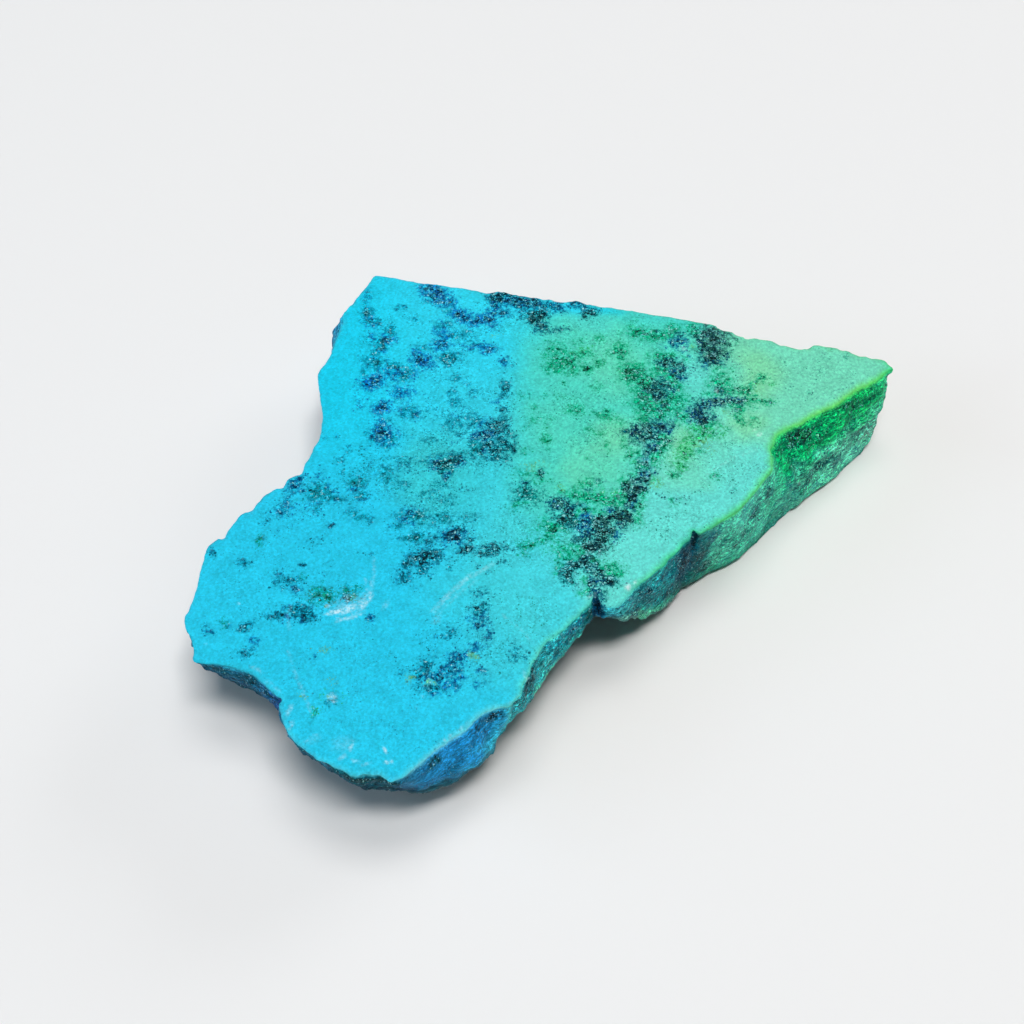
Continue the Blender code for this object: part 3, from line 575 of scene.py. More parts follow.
# ================================================================== markings
# Every row is one patch of dark mineral, placed on the sawn face:
#   x, y | half width, half height | how dense its grain is, 0 to 1
NAVY = [
    (3.5, -10.3, 0.6, 0.8, 0.85), (3.9, -11.1, 0.6, 0.6, 0.88), (4.4, -11.7, 0.4, 0.6, 0.80),
    # along the back edge
    (-14.6, 33.2, 0.9, 0.6, 0.85), (-14.0, 32.3, 0.9, 0.6, 0.92), (-13.4, 31.4, 0.8, 0.5, 0.85),
    (-12.5, 31.1, 0.6, 0.6, 0.75), (-12.0, 30.6, 0.3, 0.5, 0.55), (-11.5, 29.3, 0.7, 0.5, 0.85),
    (-11.1, 29.9, 0.2, 0.4, 0.55), (-10.5, 28.4, 0.7, 0.5, 0.80), (-9.4, 28.1, 0.7, 0.6, 0.80),
    (-8.4, 28.4, 0.6, 0.5, 0.80), (-7.5, 28.5, 0.4, 0.9, 0.85), (-8.0, 27.9, 0.8, 0.3, 0.65),
    (-7.1, 30.9, 0.4, 0.8, 0.85), (-5.2, 31.5, 0.9, 0.5, 0.90), (-6.1, 29.3, 0.5, 0.4, 0.85),
    (-6.3, 29.9, 0.3, 0.3, 0.50), (-5.3, 29.0, 0.3, 0.3, 0.50), (-3.6, 30.9, 0.9, 0.7, 0.95),
    (-4.0, 30.4, 0.5, 0.5, 0.85), (-2.6, 31.5, 0.5, 0.5, 0.85), (-2.2, 30.6, 0.5, 0.5, 0.80),
    (-1.4, 30.5, 0.6, 0.5, 0.75), (-0.3, 30.6, 0.5, 0.4, 0.65), (0.5, 30.4, 0.4, 0.6, 0.75),
    (-0.8, 31.0, 0.3, 0.3, 0.55), (1.0, 29.7, 0.3, 0.4, 0.50), (-1.6, 27.6, 0.5, 0.6, 0.85),
    (-1.4, 26.8, 0.7, 0.5, 0.72), (-1.5, 26.2, 0.5, 0.4, 0.50), (-0.4, 26.4, 0.6, 0.4, 0.45),
    (0.6, 26.7, 0.7, 0.3, 0.55), (1.3, 26.8, 0.3, 0.3, 0.60), (2.3, 31.0, 0.5, 0.4, 0.70),
    (2.0, 30.4, 0.3, 0.4, 0.45), (3.0, 30.6, 0.4, 0.4, 0.65), (3.5, 30.0, 0.4, 0.4, 0.65),
    # upper left
    (-21.1, 18.3, 0.9, 0.6, 0.88), (-20.2, 18.9, 0.5, 0.6, 0.75), (-21.9, 17.9, 0.4, 0.4, 0.65),
    (-21.0, 21.3, 0.7, 0.6, 0.65), (-21.2, 22.0, 0.8, 0.3, 0.45), (-20.2, 23.5, 0.5, 0.5, 0.70),
    (-19.9, 24.2, 0.6, 0.4, 0.55), (-19.5, 25.1, 0.6, 0.5, 0.78), (-19.2, 26.3, 0.25, 0.8, 0.50),
    (-21.9, 28.6, 0.5, 0.9, 0.60), (-21.4, 27.6, 0.5, 0.4, 0.60), (-22.2, 30.6, 0.3, 0.9, 0.42),
    (-22.2, 32.4, 0.4, 0.5, 0.45), (-20.6, 27.5, 0.4, 0.3, 0.35), (-15.2, 21.6, 0.8, 0.6, 0.95),
    (-16.0, 22.7, 0.5, 0.7, 0.70), (-16.3, 23.2, 0.4, 0.4, 0.60), (-15.3, 23.3, 0.6, 0.5, 0.45),
    (-16.5, 19.8, 0.5, 0.8, 0.50), (-17.5, 16.8, 0.8, 0.7, 0.62), (-18.1, 16.2, 0.4, 0.4, 0.50),
    (-19.7, 14.5, 0.6, 0.6, 0.82), (-19.5, 15.1, 0.6, 0.4, 0.60), (-15.7, 13.4, 0.3, 0.4, 0.75),
    (-17.2, 14.2, 0.7, 0.4, 0.45), (-19.5, 12.5, 0.4, 0.5, 0.62), (-19.6, 11.0, 0.6, 1.2, 0.82),
    (-20.3, 10.2, 0.5, 0.7, 0.65), (-18.7, 10.3, 0.8, 0.6, 0.75), (-18.6, 9.2, 0.4, 0.6, 0.55),
    (-19.6, 9.6, 0.5, 0.5, 0.65),
    # left edge
    (-28.8, 3.4, 0.6, 0.8, 0.75), (-28.3, 4.3, 0.5, 0.4, 0.65), (-28.5, 2.4, 0.6, 0.3, 0.65),
    (-29.3, 1.0, 0.35, 0.9, 0.55), (-30.0, -0.3, 0.6, 0.6, 0.52), (-29.5, -0.6, 0.4, 0.4, 0.42),
    (-26.3, 2.1, 0.7, 0.6, 0.55), (-25.4, 2.9, 0.5, 0.7, 0.42), (-24.4, 1.3, 0.8, 0.5, 0.55),
    (-26.2, -0.2, 0.4, 0.6, 0.48), (-22.0, 3.3, 0.5, 0.8, 0.60), (-22.4, 2.7, 0.4, 0.4, 0.50),
    (-21.3, 1.5, 0.5, 0.5, 0.50), (-24.3, 2.4, 0.5, 0.4, 0.35), (-24.3, -2.5, 0.3, 0.2, 0.80),
    # centre left
    (-15.8, -1.0, 0.8, 0.6, 0.72), (-16.6, -1.5, 0.5, 0.4, 0.60), (-15.0, -0.4, 0.4, 0.4, 0.50),
    (-11.4, -3.7, 0.9, 0.7, 0.93), (-12.9, 6.5, 0.9, 0.7, 0.82), (-11.1, 6.7, 0.6, 0.6, 0.95),
    (-12.2, 5.0, 0.4, 0.7, 0.65), (-7.6, 10.7, 0.8, 0.5, 0.80), (-8.4, 10.1, 0.7, 0.5, 0.80),
    (-8.3, 8.3, 0.6, 0.5, 0.72), (-5.9, 21.6, 0.4, 0.5, 0.75), (-7.7, 23.6, 0.7, 0.45, 0.88),
    (-9.7, 23.9, 0.6, 0.4, 0.65), (-8.7, 24.0, 0.6, 0.3, 0.65), (-8.2, 22.8, 0.4, 0.2, 0.50),
    (-3.7, 2.1, 0.7, 0.5, 0.62), (-3.0, 2.7, 0.3, 0.5, 0.62), (-3.9, 3.6, 0.3, 0.5, 0.60),
    # lower left
    (-8.6, -15.2, 0.6, 0.4, 0.70), (-7.9, -14.4, 0.5, 0.6, 0.50), (-7.4, -16.6, 0.3, 0.8, 0.50),
    (-13.4, -21.6, 0.9, 0.4, 0.62), (-10.9, -20.6, 0.6, 0.6, 0.72), (-10.8, -19.4, 0.6, 0.5, 0.72),
    (-12.4, -21.6, 0.7, 0.5, 0.72), (-11.8, -20.7, 0.4, 0.5, 0.55), (-8.1, -21.0, 0.4, 0.3, 0.60),
    (-19.6, -14.3, 0.25, 0.3, 0.85), (-26.6, -14.6, 0.3, 0.4, 0.80), (-27.6, -10.9, 0.4, 0.3, 0.65),
    (-36.2, -16.3, 0.4, 0.25, 0.55), (-25.0, -19.3, 0.25, 0.2, 0.65),
    # the long vein through the middle
    (0.3, 0.6, 0.8, 0.8, 0.85), (0.9, 0.0, 0.6, 0.5, 0.85), (-0.7, 0.9, 0.5, 0.5, 0.55),
    (3.0, -3.5, 0.6, 0.6, 0.75), (6.6, -2.2, 0.7, 0.5, 0.80), (7.8, 0.2, 0.5, 0.6, 0.88),
    (8.2, 1.3, 0.5, 0.6, 0.88), (9.8, 4.7, 0.6, 0.6, 0.90), (10.9, 8.7, 0.6, 0.6, 0.80),
    (11.6, 11.5, 0.9, 0.7, 0.93), (8.8, 10.9, 0.7, 0.6, 0.90), (4.9, -9.7, 0.9, 0.5, 0.80),
    (3.8, -9.4, 0.6, 0.5, 0.65), (13.6, 19.9, 0.8, 0.6, 0.85), (13.3, 17.3, 0.5, 0.6, 0.75),
    (14.6, 20.2, 0.4, 0.5, 0.75), (16.2, 13.7, 0.9, 1.1, 0.98), (16.4, 12.3, 0.7, 0.4, 0.90),
    (17.2, 15.2, 0.7, 0.4, 0.90), (18.5, 15.4, 0.9, 0.45, 0.88), (19.7, 15.6, 0.8, 0.45, 0.85),
    (20.9, 15.4, 0.7, 0.35, 0.80), (17.0, 24.2, 0.35, 1.5, 0.85), (18.0, 22.0, 1.0, 0.7, 0.92),
    (19.8, 22.7, 0.3, 0.6, 0.75), (16.3, 26.6, 0.4, 0.4, 0.45),
]
BLUE = [
    (-13.2, 27.0, 0.6, 0.8, 0.50), (-12.9, 25.6, 0.7, 0.9, 0.60), (-13.3, 24.3, 0.8, 0.7, 0.70),
    (-13.2, 23.6, 0.5, 0.5, 0.60), (-14.1, 26.5, 0.3, 0.4, 0.35), (-21.3, 25.6, 0.4, 0.5, 0.50),
    (-19.6, 20.4, 0.7, 0.4, 0.50), (-18.6, 19.8, 1.0, 0.6, 0.62), (-18.4, 18.9, 0.4, 0.5, 0.42),
    (-22.4, 15.0, 0.5, 0.7, 0.35), (-19.9, 10.6, 0.3, 0.5, 0.70), (-8.4, 12.3, 0.6, 0.5, 0.55),
    (-10.9, 12.3, 0.7, 1.2, 0.40), (-6.7, 15.3, 0.4, 0.25, 0.65), (-26.2, 4.6, 0.8, 0.8, 0.28),
    (-28.6, -0.2, 0.6, 0.9, 0.25), (-26.4, 1.0, 0.7, 0.6, 0.30), (-16.0, -2.0, 0.6, 0.3, 0.50),
    (-8.7, -18.2, 0.5, 0.4, 0.60), (-9.7, -18.9, 0.7, 0.3, 0.62), (-11.4, -22.6, 0.7, 0.5, 0.62),
    (-10.4, -21.6, 0.5, 0.5, 0.50), (-9.2, -14.6, 0.4, 0.5, 0.45), (-12.8, -23.6, 0.6, 0.3, 0.50),
    (-28.3, -14.4, 0.5, 0.3, 0.50), (-31.3, -17.2, 0.5, 0.5, 0.42), (-8.9, -22.6, 0.5, 0.3, 0.40),
    (3.0, -1.3, 0.7, 0.8, 0.70), (2.7, -2.5, 0.7, 0.7, 0.75), (2.6, 0.5, 0.4, 0.4, 0.45),
    (5.6, -0.3, 0.5, 0.4, 0.75), (6.1, -3.4, 0.4, 0.6, 0.65), (5.8, -4.4, 0.3, 0.4, 0.35),
    (14.2, 24.8, 0.9, 0.6, 0.70), (15.3, 25.0, 0.5, 0.4, 0.55), (14.9, 23.3, 0.4, 0.5, 0.30),
    (15.4, 22.3, 0.3, 0.4, 0.50), (13.5, 25.4, 0.4, 0.3, 0.50), (17.5, 27.3, 0.7, 0.3, 0.32),
    (17.3, 21.0, 0.4, 0.5, 0.50), (15.0, 13.2, 0.7, 0.6, 0.50), (13.9, 12.6, 0.7, 0.4, 0.40),
    (12.4, 11.0, 0.5, 0.5, 0.72), (10.0, 7.0, 0.4, 0.6, 0.60), (14.0, 19.0, 0.6, 0.4, 0.75),
    (3.6, -10.3, 0.5, 0.4, 0.55), (-2.2, 30.0, 0.4, 0.4, 0.55), (1.8, 31.2, 0.5, 0.3, 0.35),
]
TEAL = [
    (-11.3, 6.8, 0.7, 0.6, 0.98), (-12.6, 6.4, 0.8, 0.6, 0.92), (-7.8, 10.5, 0.7, 0.5, 0.75),
    (-17.9, 30.2, 0.3, 0.3, 0.45), (-18.4, 30.2, 0.3, 0.3, 0.50), (-16.8, 28.4, 0.4, 0.6, 0.25),
    (-12.3, 21.6, 0.6, 0.6, 0.65), (-12.3, 22.6, 0.3, 0.7, 0.50), (-17.2, 20.2, 0.8, 0.6, 0.40),
    (-17.8, 19.6, 0.5, 0.9, 0.35), (-16.5, 20.8, 0.3, 0.5, 0.40), (-11.4, 18.8, 0.5, 0.6, 0.32),
    (-12.1, 16.5, 0.3, 0.3, 0.48), (-11.3, 15.4, 0.4, 0.8, 0.38), (-14.6, 21.0, 0.3, 0.3, 0.30),
    (-5.8, 17.4, 0.4, 0.9, 0.72), (-5.5, 18.3, 0.3, 0.4, 0.50), (-5.9, 16.6, 0.3, 0.3, 0.62),
    (-6.0, 14.2, 0.45, 0.3, 0.68), (-6.1, 13.1, 0.3, 0.6, 0.42), (-5.3, 12.7, 0.3, 0.4, 0.32),
    (-4.8, 21.1, 0.3, 0.3, 0.38), (-18.5, 4.1, 0.6, 0.5, 0.42), (-17.0, 6.4, 0.9, 0.5, 0.38),
    (-18.7, 6.0, 0.4, 0.4, 0.30), (-16.4, 5.6, 0.5, 0.5, 0.30), (-23.4, 8.3, 0.3, 0.6, 0.42),
    (-24.1, 6.7, 0.5, 0.5, 0.38), (-21.5, 8.6, 0.4, 0.4, 0.38), (-24.4, 10.1, 0.3, 0.3, 0.40),
    (-26.0, 10.2, 0.4, 0.4, 0.28), (-20.6, 6.2, 0.6, 0.5, 0.24), (-22.3, -0.4, 0.6, 0.5, 0.34),
    (-21.4, -1.2, 0.6, 0.3, 0.38), (-20.3, -1.6, 0.3, 0.5, 0.48), (-17.4, -2.4, 0.7, 0.3, 0.42),
    (-25.9, -4.4, 0.9, 0.7, 0.22), (-30.2, -3.2, 0.7, 0.6, 0.20), (-31.6, -1.9, 0.4, 0.3, 0.35),
    (-6.3, -7.2, 0.5, 0.4, 0.30), (-13.2, 2.6, 0.5, 0.8, 0.34), (-14.4, 1.4, 0.6, 0.4, 0.30),
    (-12.4, 1.4, 0.4, 0.5, 0.30), (-10.0, 2.4, 0.6, 0.5, 0.26), (-16.9, 3.2, 0.5, 0.8, 0.25),
    (-15.4, -3.8, 0.6, 0.4, 0.65), (-14.2, -4.5, 0.6, 0.4, 0.62), (-13.0, -3.9, 0.4, 0.3, 0.58),
    (-14.6, -8.2, 0.4, 0.6, 0.62), (-16.4, -9.2, 0.5, 0.5, 0.72), (-16.2, -7.4, 0.5, 0.4, 0.75),
    (-15.4, -6.6, 0.6, 0.5, 0.75), (-11.6, -8.2, 0.2, 0.5, 0.55), (-13.6, -9.2, 0.4, 0.4, 0.28),
    (-11.4, -7.0, 0.5, 0.3, 0.28), (-8.6, -7.6, 0.4, 0.3, 0.30), (-7.6, -8.6, 0.4, 0.2, 0.35),
    (-9.4, -4.4, 0.3, 0.5, 0.55), (-5.7, -5.5, 0.5, 0.3, 0.55), (-4.5, -5.2, 0.4, 0.3, 0.35),
    (-8.2, -11.3, 0.8, 0.5, 0.42), (-6.9, -11.8, 0.4, 0.4, 0.25), (-11.8, -11.8, 0.4, 0.5, 0.20),
    (-15.0, -10.6, 0.4, 0.4, 0.22), (-12.0, -16.6, 0.9, 0.4, 0.40), (-11.2, -16.3, 0.4, 0.4, 0.50),
    (-14.0, -17.2, 0.6, 0.5, 0.22), (-13.4, -14.6, 0.6, 0.6, 0.20), (-12.9, -18.8, 0.7, 0.5, 0.22),
    (-8.4, -13.3, 0.5, 0.5, 0.70), (-8.0, -12.9, 0.5, 0.4, 0.50), (-13.7, -20.4, 0.5, 0.6, 0.60),
    (-14.2, -21.3, 0.6, 0.5, 0.60), (-13.0, -23.0, 0.9, 0.5, 0.70), (-14.6, -22.8, 0.4, 0.4, 0.42),
    (-16.2, -21.2, 0.4, 0.4, 0.30), (-7.6, -22.4, 0.5, 0.4, 0.22), (-4.6, -18.6, 0.5, 0.8, 0.40),
    (-5.0, -19.6, 0.4, 0.4, 0.38), (-3.8, -19.2, 0.3, 0.5, 0.35), (-17.4, -19.4, 0.5, 0.4, 0.22),
    (-33.4, -7.3, 0.45, 0.35, 0.50), (-27.2, -7.7, 0.25, 0.15, 0.55), (-29.5, -9.4, 0.5, 0.7, 0.42),
    (-28.2, -9.7, 0.7, 0.4, 0.58), (-29.1, -10.6, 0.4, 0.3, 0.42), (-29.7, -14.2, 0.7, 0.3, 0.68),
    (-30.6, -14.2, 0.4, 0.2, 0.42), (-27.4, -13.4, 0.9, 0.5, 0.62), (-26.4, -13.4, 0.5, 0.5, 0.62),
    (-26.0, -14.0, 0.5, 0.5, 0.60), (-27.0, -14.2, 0.7, 0.3, 0.62), (-32.6, -15.7, 0.4, 0.4, 0.78),
    (-32.0, -15.1, 0.3, 0.3, 0.50), (-32.5, -18.7, 0.6, 0.4, 0.50), (-31.6, -18.4, 0.3, 0.3, 0.45),
    (-34.4, -15.2, 0.3, 0.3, 0.42), (-36.6, -15.4, 0.3, 0.2, 0.30), (-21.4, -5.9, 0.3, 0.2, 0.38),
    (-20.0, -6.3, 0.3, 0.3, 0.30), (-24.4, -7.4, 0.3, 0.3, 0.24), (-19.8, -16.6, 0.3, 0.3, 0.22),
    (-36.8, -5.9, 0.3, 0.5, 0.42), (-10.9, 10.6, 0.5, 0.4, 0.42), (-10.4, 8.2, 0.6, 0.5, 0.28),
    (-5.3, 10.6, 0.5, 0.5, 0.62), (-6.2, 9.8, 0.6, 0.5, 0.68), (-7.8, 9.0, 0.7, 0.5, 0.78),
    (-6.9, 8.3, 0.8, 0.5, 0.80), (-5.7, 8.7, 0.7, 0.7, 0.70), (-4.9, 8.1, 0.4, 0.5, 0.62),
    (-7.0, 7.2, 0.8, 0.4, 0.68), (-5.7, 7.1, 0.5, 0.5, 0.55), (-9.4, 7.4, 0.5, 0.3, 0.35),
    (-9.6, 11.8, 0.5, 0.6, 0.42), (1.0, -1.0, 0.9, 0.8, 0.80), (-0.4, -1.2, 0.6, 0.8, 0.55),
    (0.9, -2.2, 0.8, 0.6, 0.70), (1.9, 0.7, 0.7, 0.4, 0.55), (3.2, 2.8, 0.7, 0.7, 0.42),
    (4.3, 3.6, 0.4, 0.5, 0.45), (2.0, -4.6, 0.5, 0.6, 0.50), (7.8, 2.7, 0.6, 0.7, 0.85),
    (8.3, 3.7, 0.7, 0.5, 0.80), (9.2, 3.9, 0.6, 0.5, 0.82), (9.1, 5.2, 0.4, 0.5, 0.68),
    (9.4, 6.1, 0.6, 0.5, 0.70), (9.9, 7.6, 0.5, 0.6, 0.70), (2.9, -6.6, 0.6, 0.5, 0.82),
    (2.5, -7.4, 0.9, 0.5, 0.82), (1.5, -7.8, 0.8, 0.5, 0.82), (0.6, -8.1, 0.7, 0.4, 0.75),
    (0.8, -9.0, 0.5, 0.6, 0.80), (-0.1, -8.7, 0.3, 0.4, 0.45), (1.1, -9.9, 0.5, 0.3, 0.62),
    (3.5, -7.9, 0.7, 0.5, 0.85), (4.2, -8.6, 0.8, 0.5, 0.85), (5.7, -10.0, 0.5, 0.4, 0.65),
    (2.5, -10.8, 0.6, 0.5, 0.35), (12.0, 26.0, 0.9, 0.5, 0.50), (13.2, 25.9, 0.7, 0.4, 0.55),
    (10.8, 26.2, 0.7, 0.4, 0.45), (16.2, 25.8, 0.5, 0.5, 0.65), (14.2, 26.0, 0.7, 0.4, 0.62),
    (13.0, 21.4, 1.0, 0.7, 0.90), (14.2, 20.9, 0.5, 0.5, 0.75), (12.2, 19.0, 0.7, 0.5, 0.62),
    (11.0, 18.3, 1.0, 0.7, 0.80), (12.4, 18.0, 0.8, 0.7, 0.80), (10.6, 17.2, 0.7, 0.7, 0.80),
    (11.7, 16.6, 1.0, 0.8, 0.86), (12.7, 16.0, 0.6, 0.6, 0.70), (11.3, 15.6, 0.7, 0.6, 0.80),
    (12.3, 14.9, 0.8, 0.5, 0.80), (11.7, 14.1, 0.5, 0.5, 0.70), (10.4, 15.9, 0.4, 0.5, 0.52),
    (9.6, 16.7, 0.4, 0.4, 0.45), (13.1, 15.4, 0.4, 0.4, 0.55), (12.2, 13.3, 0.4, 0.5, 0.45),
    (11.4, 12.8, 0.5, 0.5, 0.55), (10.7, 12.7, 0.4, 0.4, 0.52), (10.1, 11.4, 0.7, 0.8, 0.90),
    (9.5, 9.9, 0.8, 0.5, 0.84), (10.7, 10.2, 0.5, 0.5, 0.80), (11.7, 9.7, 0.7, 0.5, 0.78),
    (10.3, 7.9, 0.6, 0.5, 0.78), (7.7, 11.0, 0.4, 0.4, 0.55), (18.8, 17.3, 0.5, 0.6, 0.78),
    (18.5, 18.1, 0.5, 0.4, 0.62), (19.3, 16.8, 0.5, 0.4, 0.55), (20.3, 14.2, 0.4, 0.5, 0.70),
    (21.0, 14.6, 0.3, 0.4, 0.50), (17.0, 20.4, 0.3, 0.5, 0.32), (17.6, 16.4, 0.3, 0.4, 0.42),
    (13.1, 1.3, 0.8, 0.4, 0.32), (14.2, 0.8, 0.5, 0.3, 0.20), (31.2, 22.0, 0.4, 0.4, 0.28),
    (33.8, 22.4, 0.4, 0.4, 0.35), (28.8, 16.8, 0.2, 0.2, 0.45), (15.6, 2.4, 0.2, 0.2, 0.50),
    (19.2, 2.4, 0.2, 0.2, 0.45), (11.0, 2.0, 0.2, 0.2, 0.40), (-0.4, -9.8, 0.3, 0.3, 0.30),
]
BLACK = [
    (18.2, 22.3, 0.9, 0.7, 0.96), (16.2, 13.8, 0.9, 0.8, 0.94), (0.5, -1.5, 0.7, 0.5, 0.80),
    (-2.2, 28.5, 0.8, 0.6, 1.00), (-1.8, 29.3, 0.8, 0.6, 0.92), (-6.8, 31.9, 0.8, 0.7, 0.92),
    (-5.8, 32.3, 0.9, 0.4, 0.85), (4.1, 29.4, 0.6, 0.4, 0.90), (3.4, 28.9, 0.4, 0.3, 0.72),
    (-1.4, 29.0, 0.4, 0.5, 0.80), (-14.0, -6.3, 0.8, 0.6, 0.95), (-14.4, -7.2, 0.5, 0.4, 0.80),
    (-10.8, -3.1, 0.5, 0.4, 0.75), (-9.9, -5.6, 0.6, 0.4, 0.85), (-10.5, -6.1, 0.5, 0.3, 0.62),
    (-7.0, -5.4, 0.6, 0.5, 0.88), (-8.0, -6.1, 0.6, 0.3, 0.75), (-7.0, 11.8, 0.9, 0.6, 0.85),
    (-6.5, 11.3, 0.7, 0.5, 0.90), (-12.6, 6.4, 0.6, 0.5, 0.80), (-1.8, 5.0, 0.3, 0.5, 0.75),
    (4.6, -1.8, 0.9, 0.8, 0.93), (5.0, -3.0, 0.8, 0.9, 0.95), (4.6, -4.2, 0.7, 0.7, 0.95),
    (4.0, -5.2, 0.8, 0.5, 0.95), (3.1, -4.8, 0.7, 0.6, 0.88), (4.9, -5.4, 0.4, 0.4, 0.78),
    (4.0, -2.7, 0.5, 0.8, 0.92), (6.0, -1.2, 0.7, 0.6, 0.95), (6.8, -0.6, 0.8, 0.5, 0.97),
    (7.4, -1.2, 0.6, 0.6, 0.97), (3.4, -5.8, 0.5, 0.4, 0.80), (8.8, 2.8, 0.7, 0.6, 0.97),
    (9.3, 2.9, 0.4, 0.5, 0.92), (5.0, -9.3, 0.6, 0.4, 0.70),
]
BROWN = [
    (18.3, 25.9, 1.2, 0.8, 0.98), (18.6, 24.7, 1.2, 1.0, 1.00), (18.3, 23.3, 1.2, 1.0, 1.00),
    (18.2, 26.7, 0.5, 0.4, 0.75), (19.4, 25.2, 0.4, 0.8, 0.90), (18.0, 22.2, 0.6, 0.5, 0.85),
    (0.6, -0.3, 0.4, 0.4, 0.62), (-6.2, 11.6, 0.4, 0.3, 0.62), (-22.3, -11.8, 0.35, 0.4, 0.85),
]
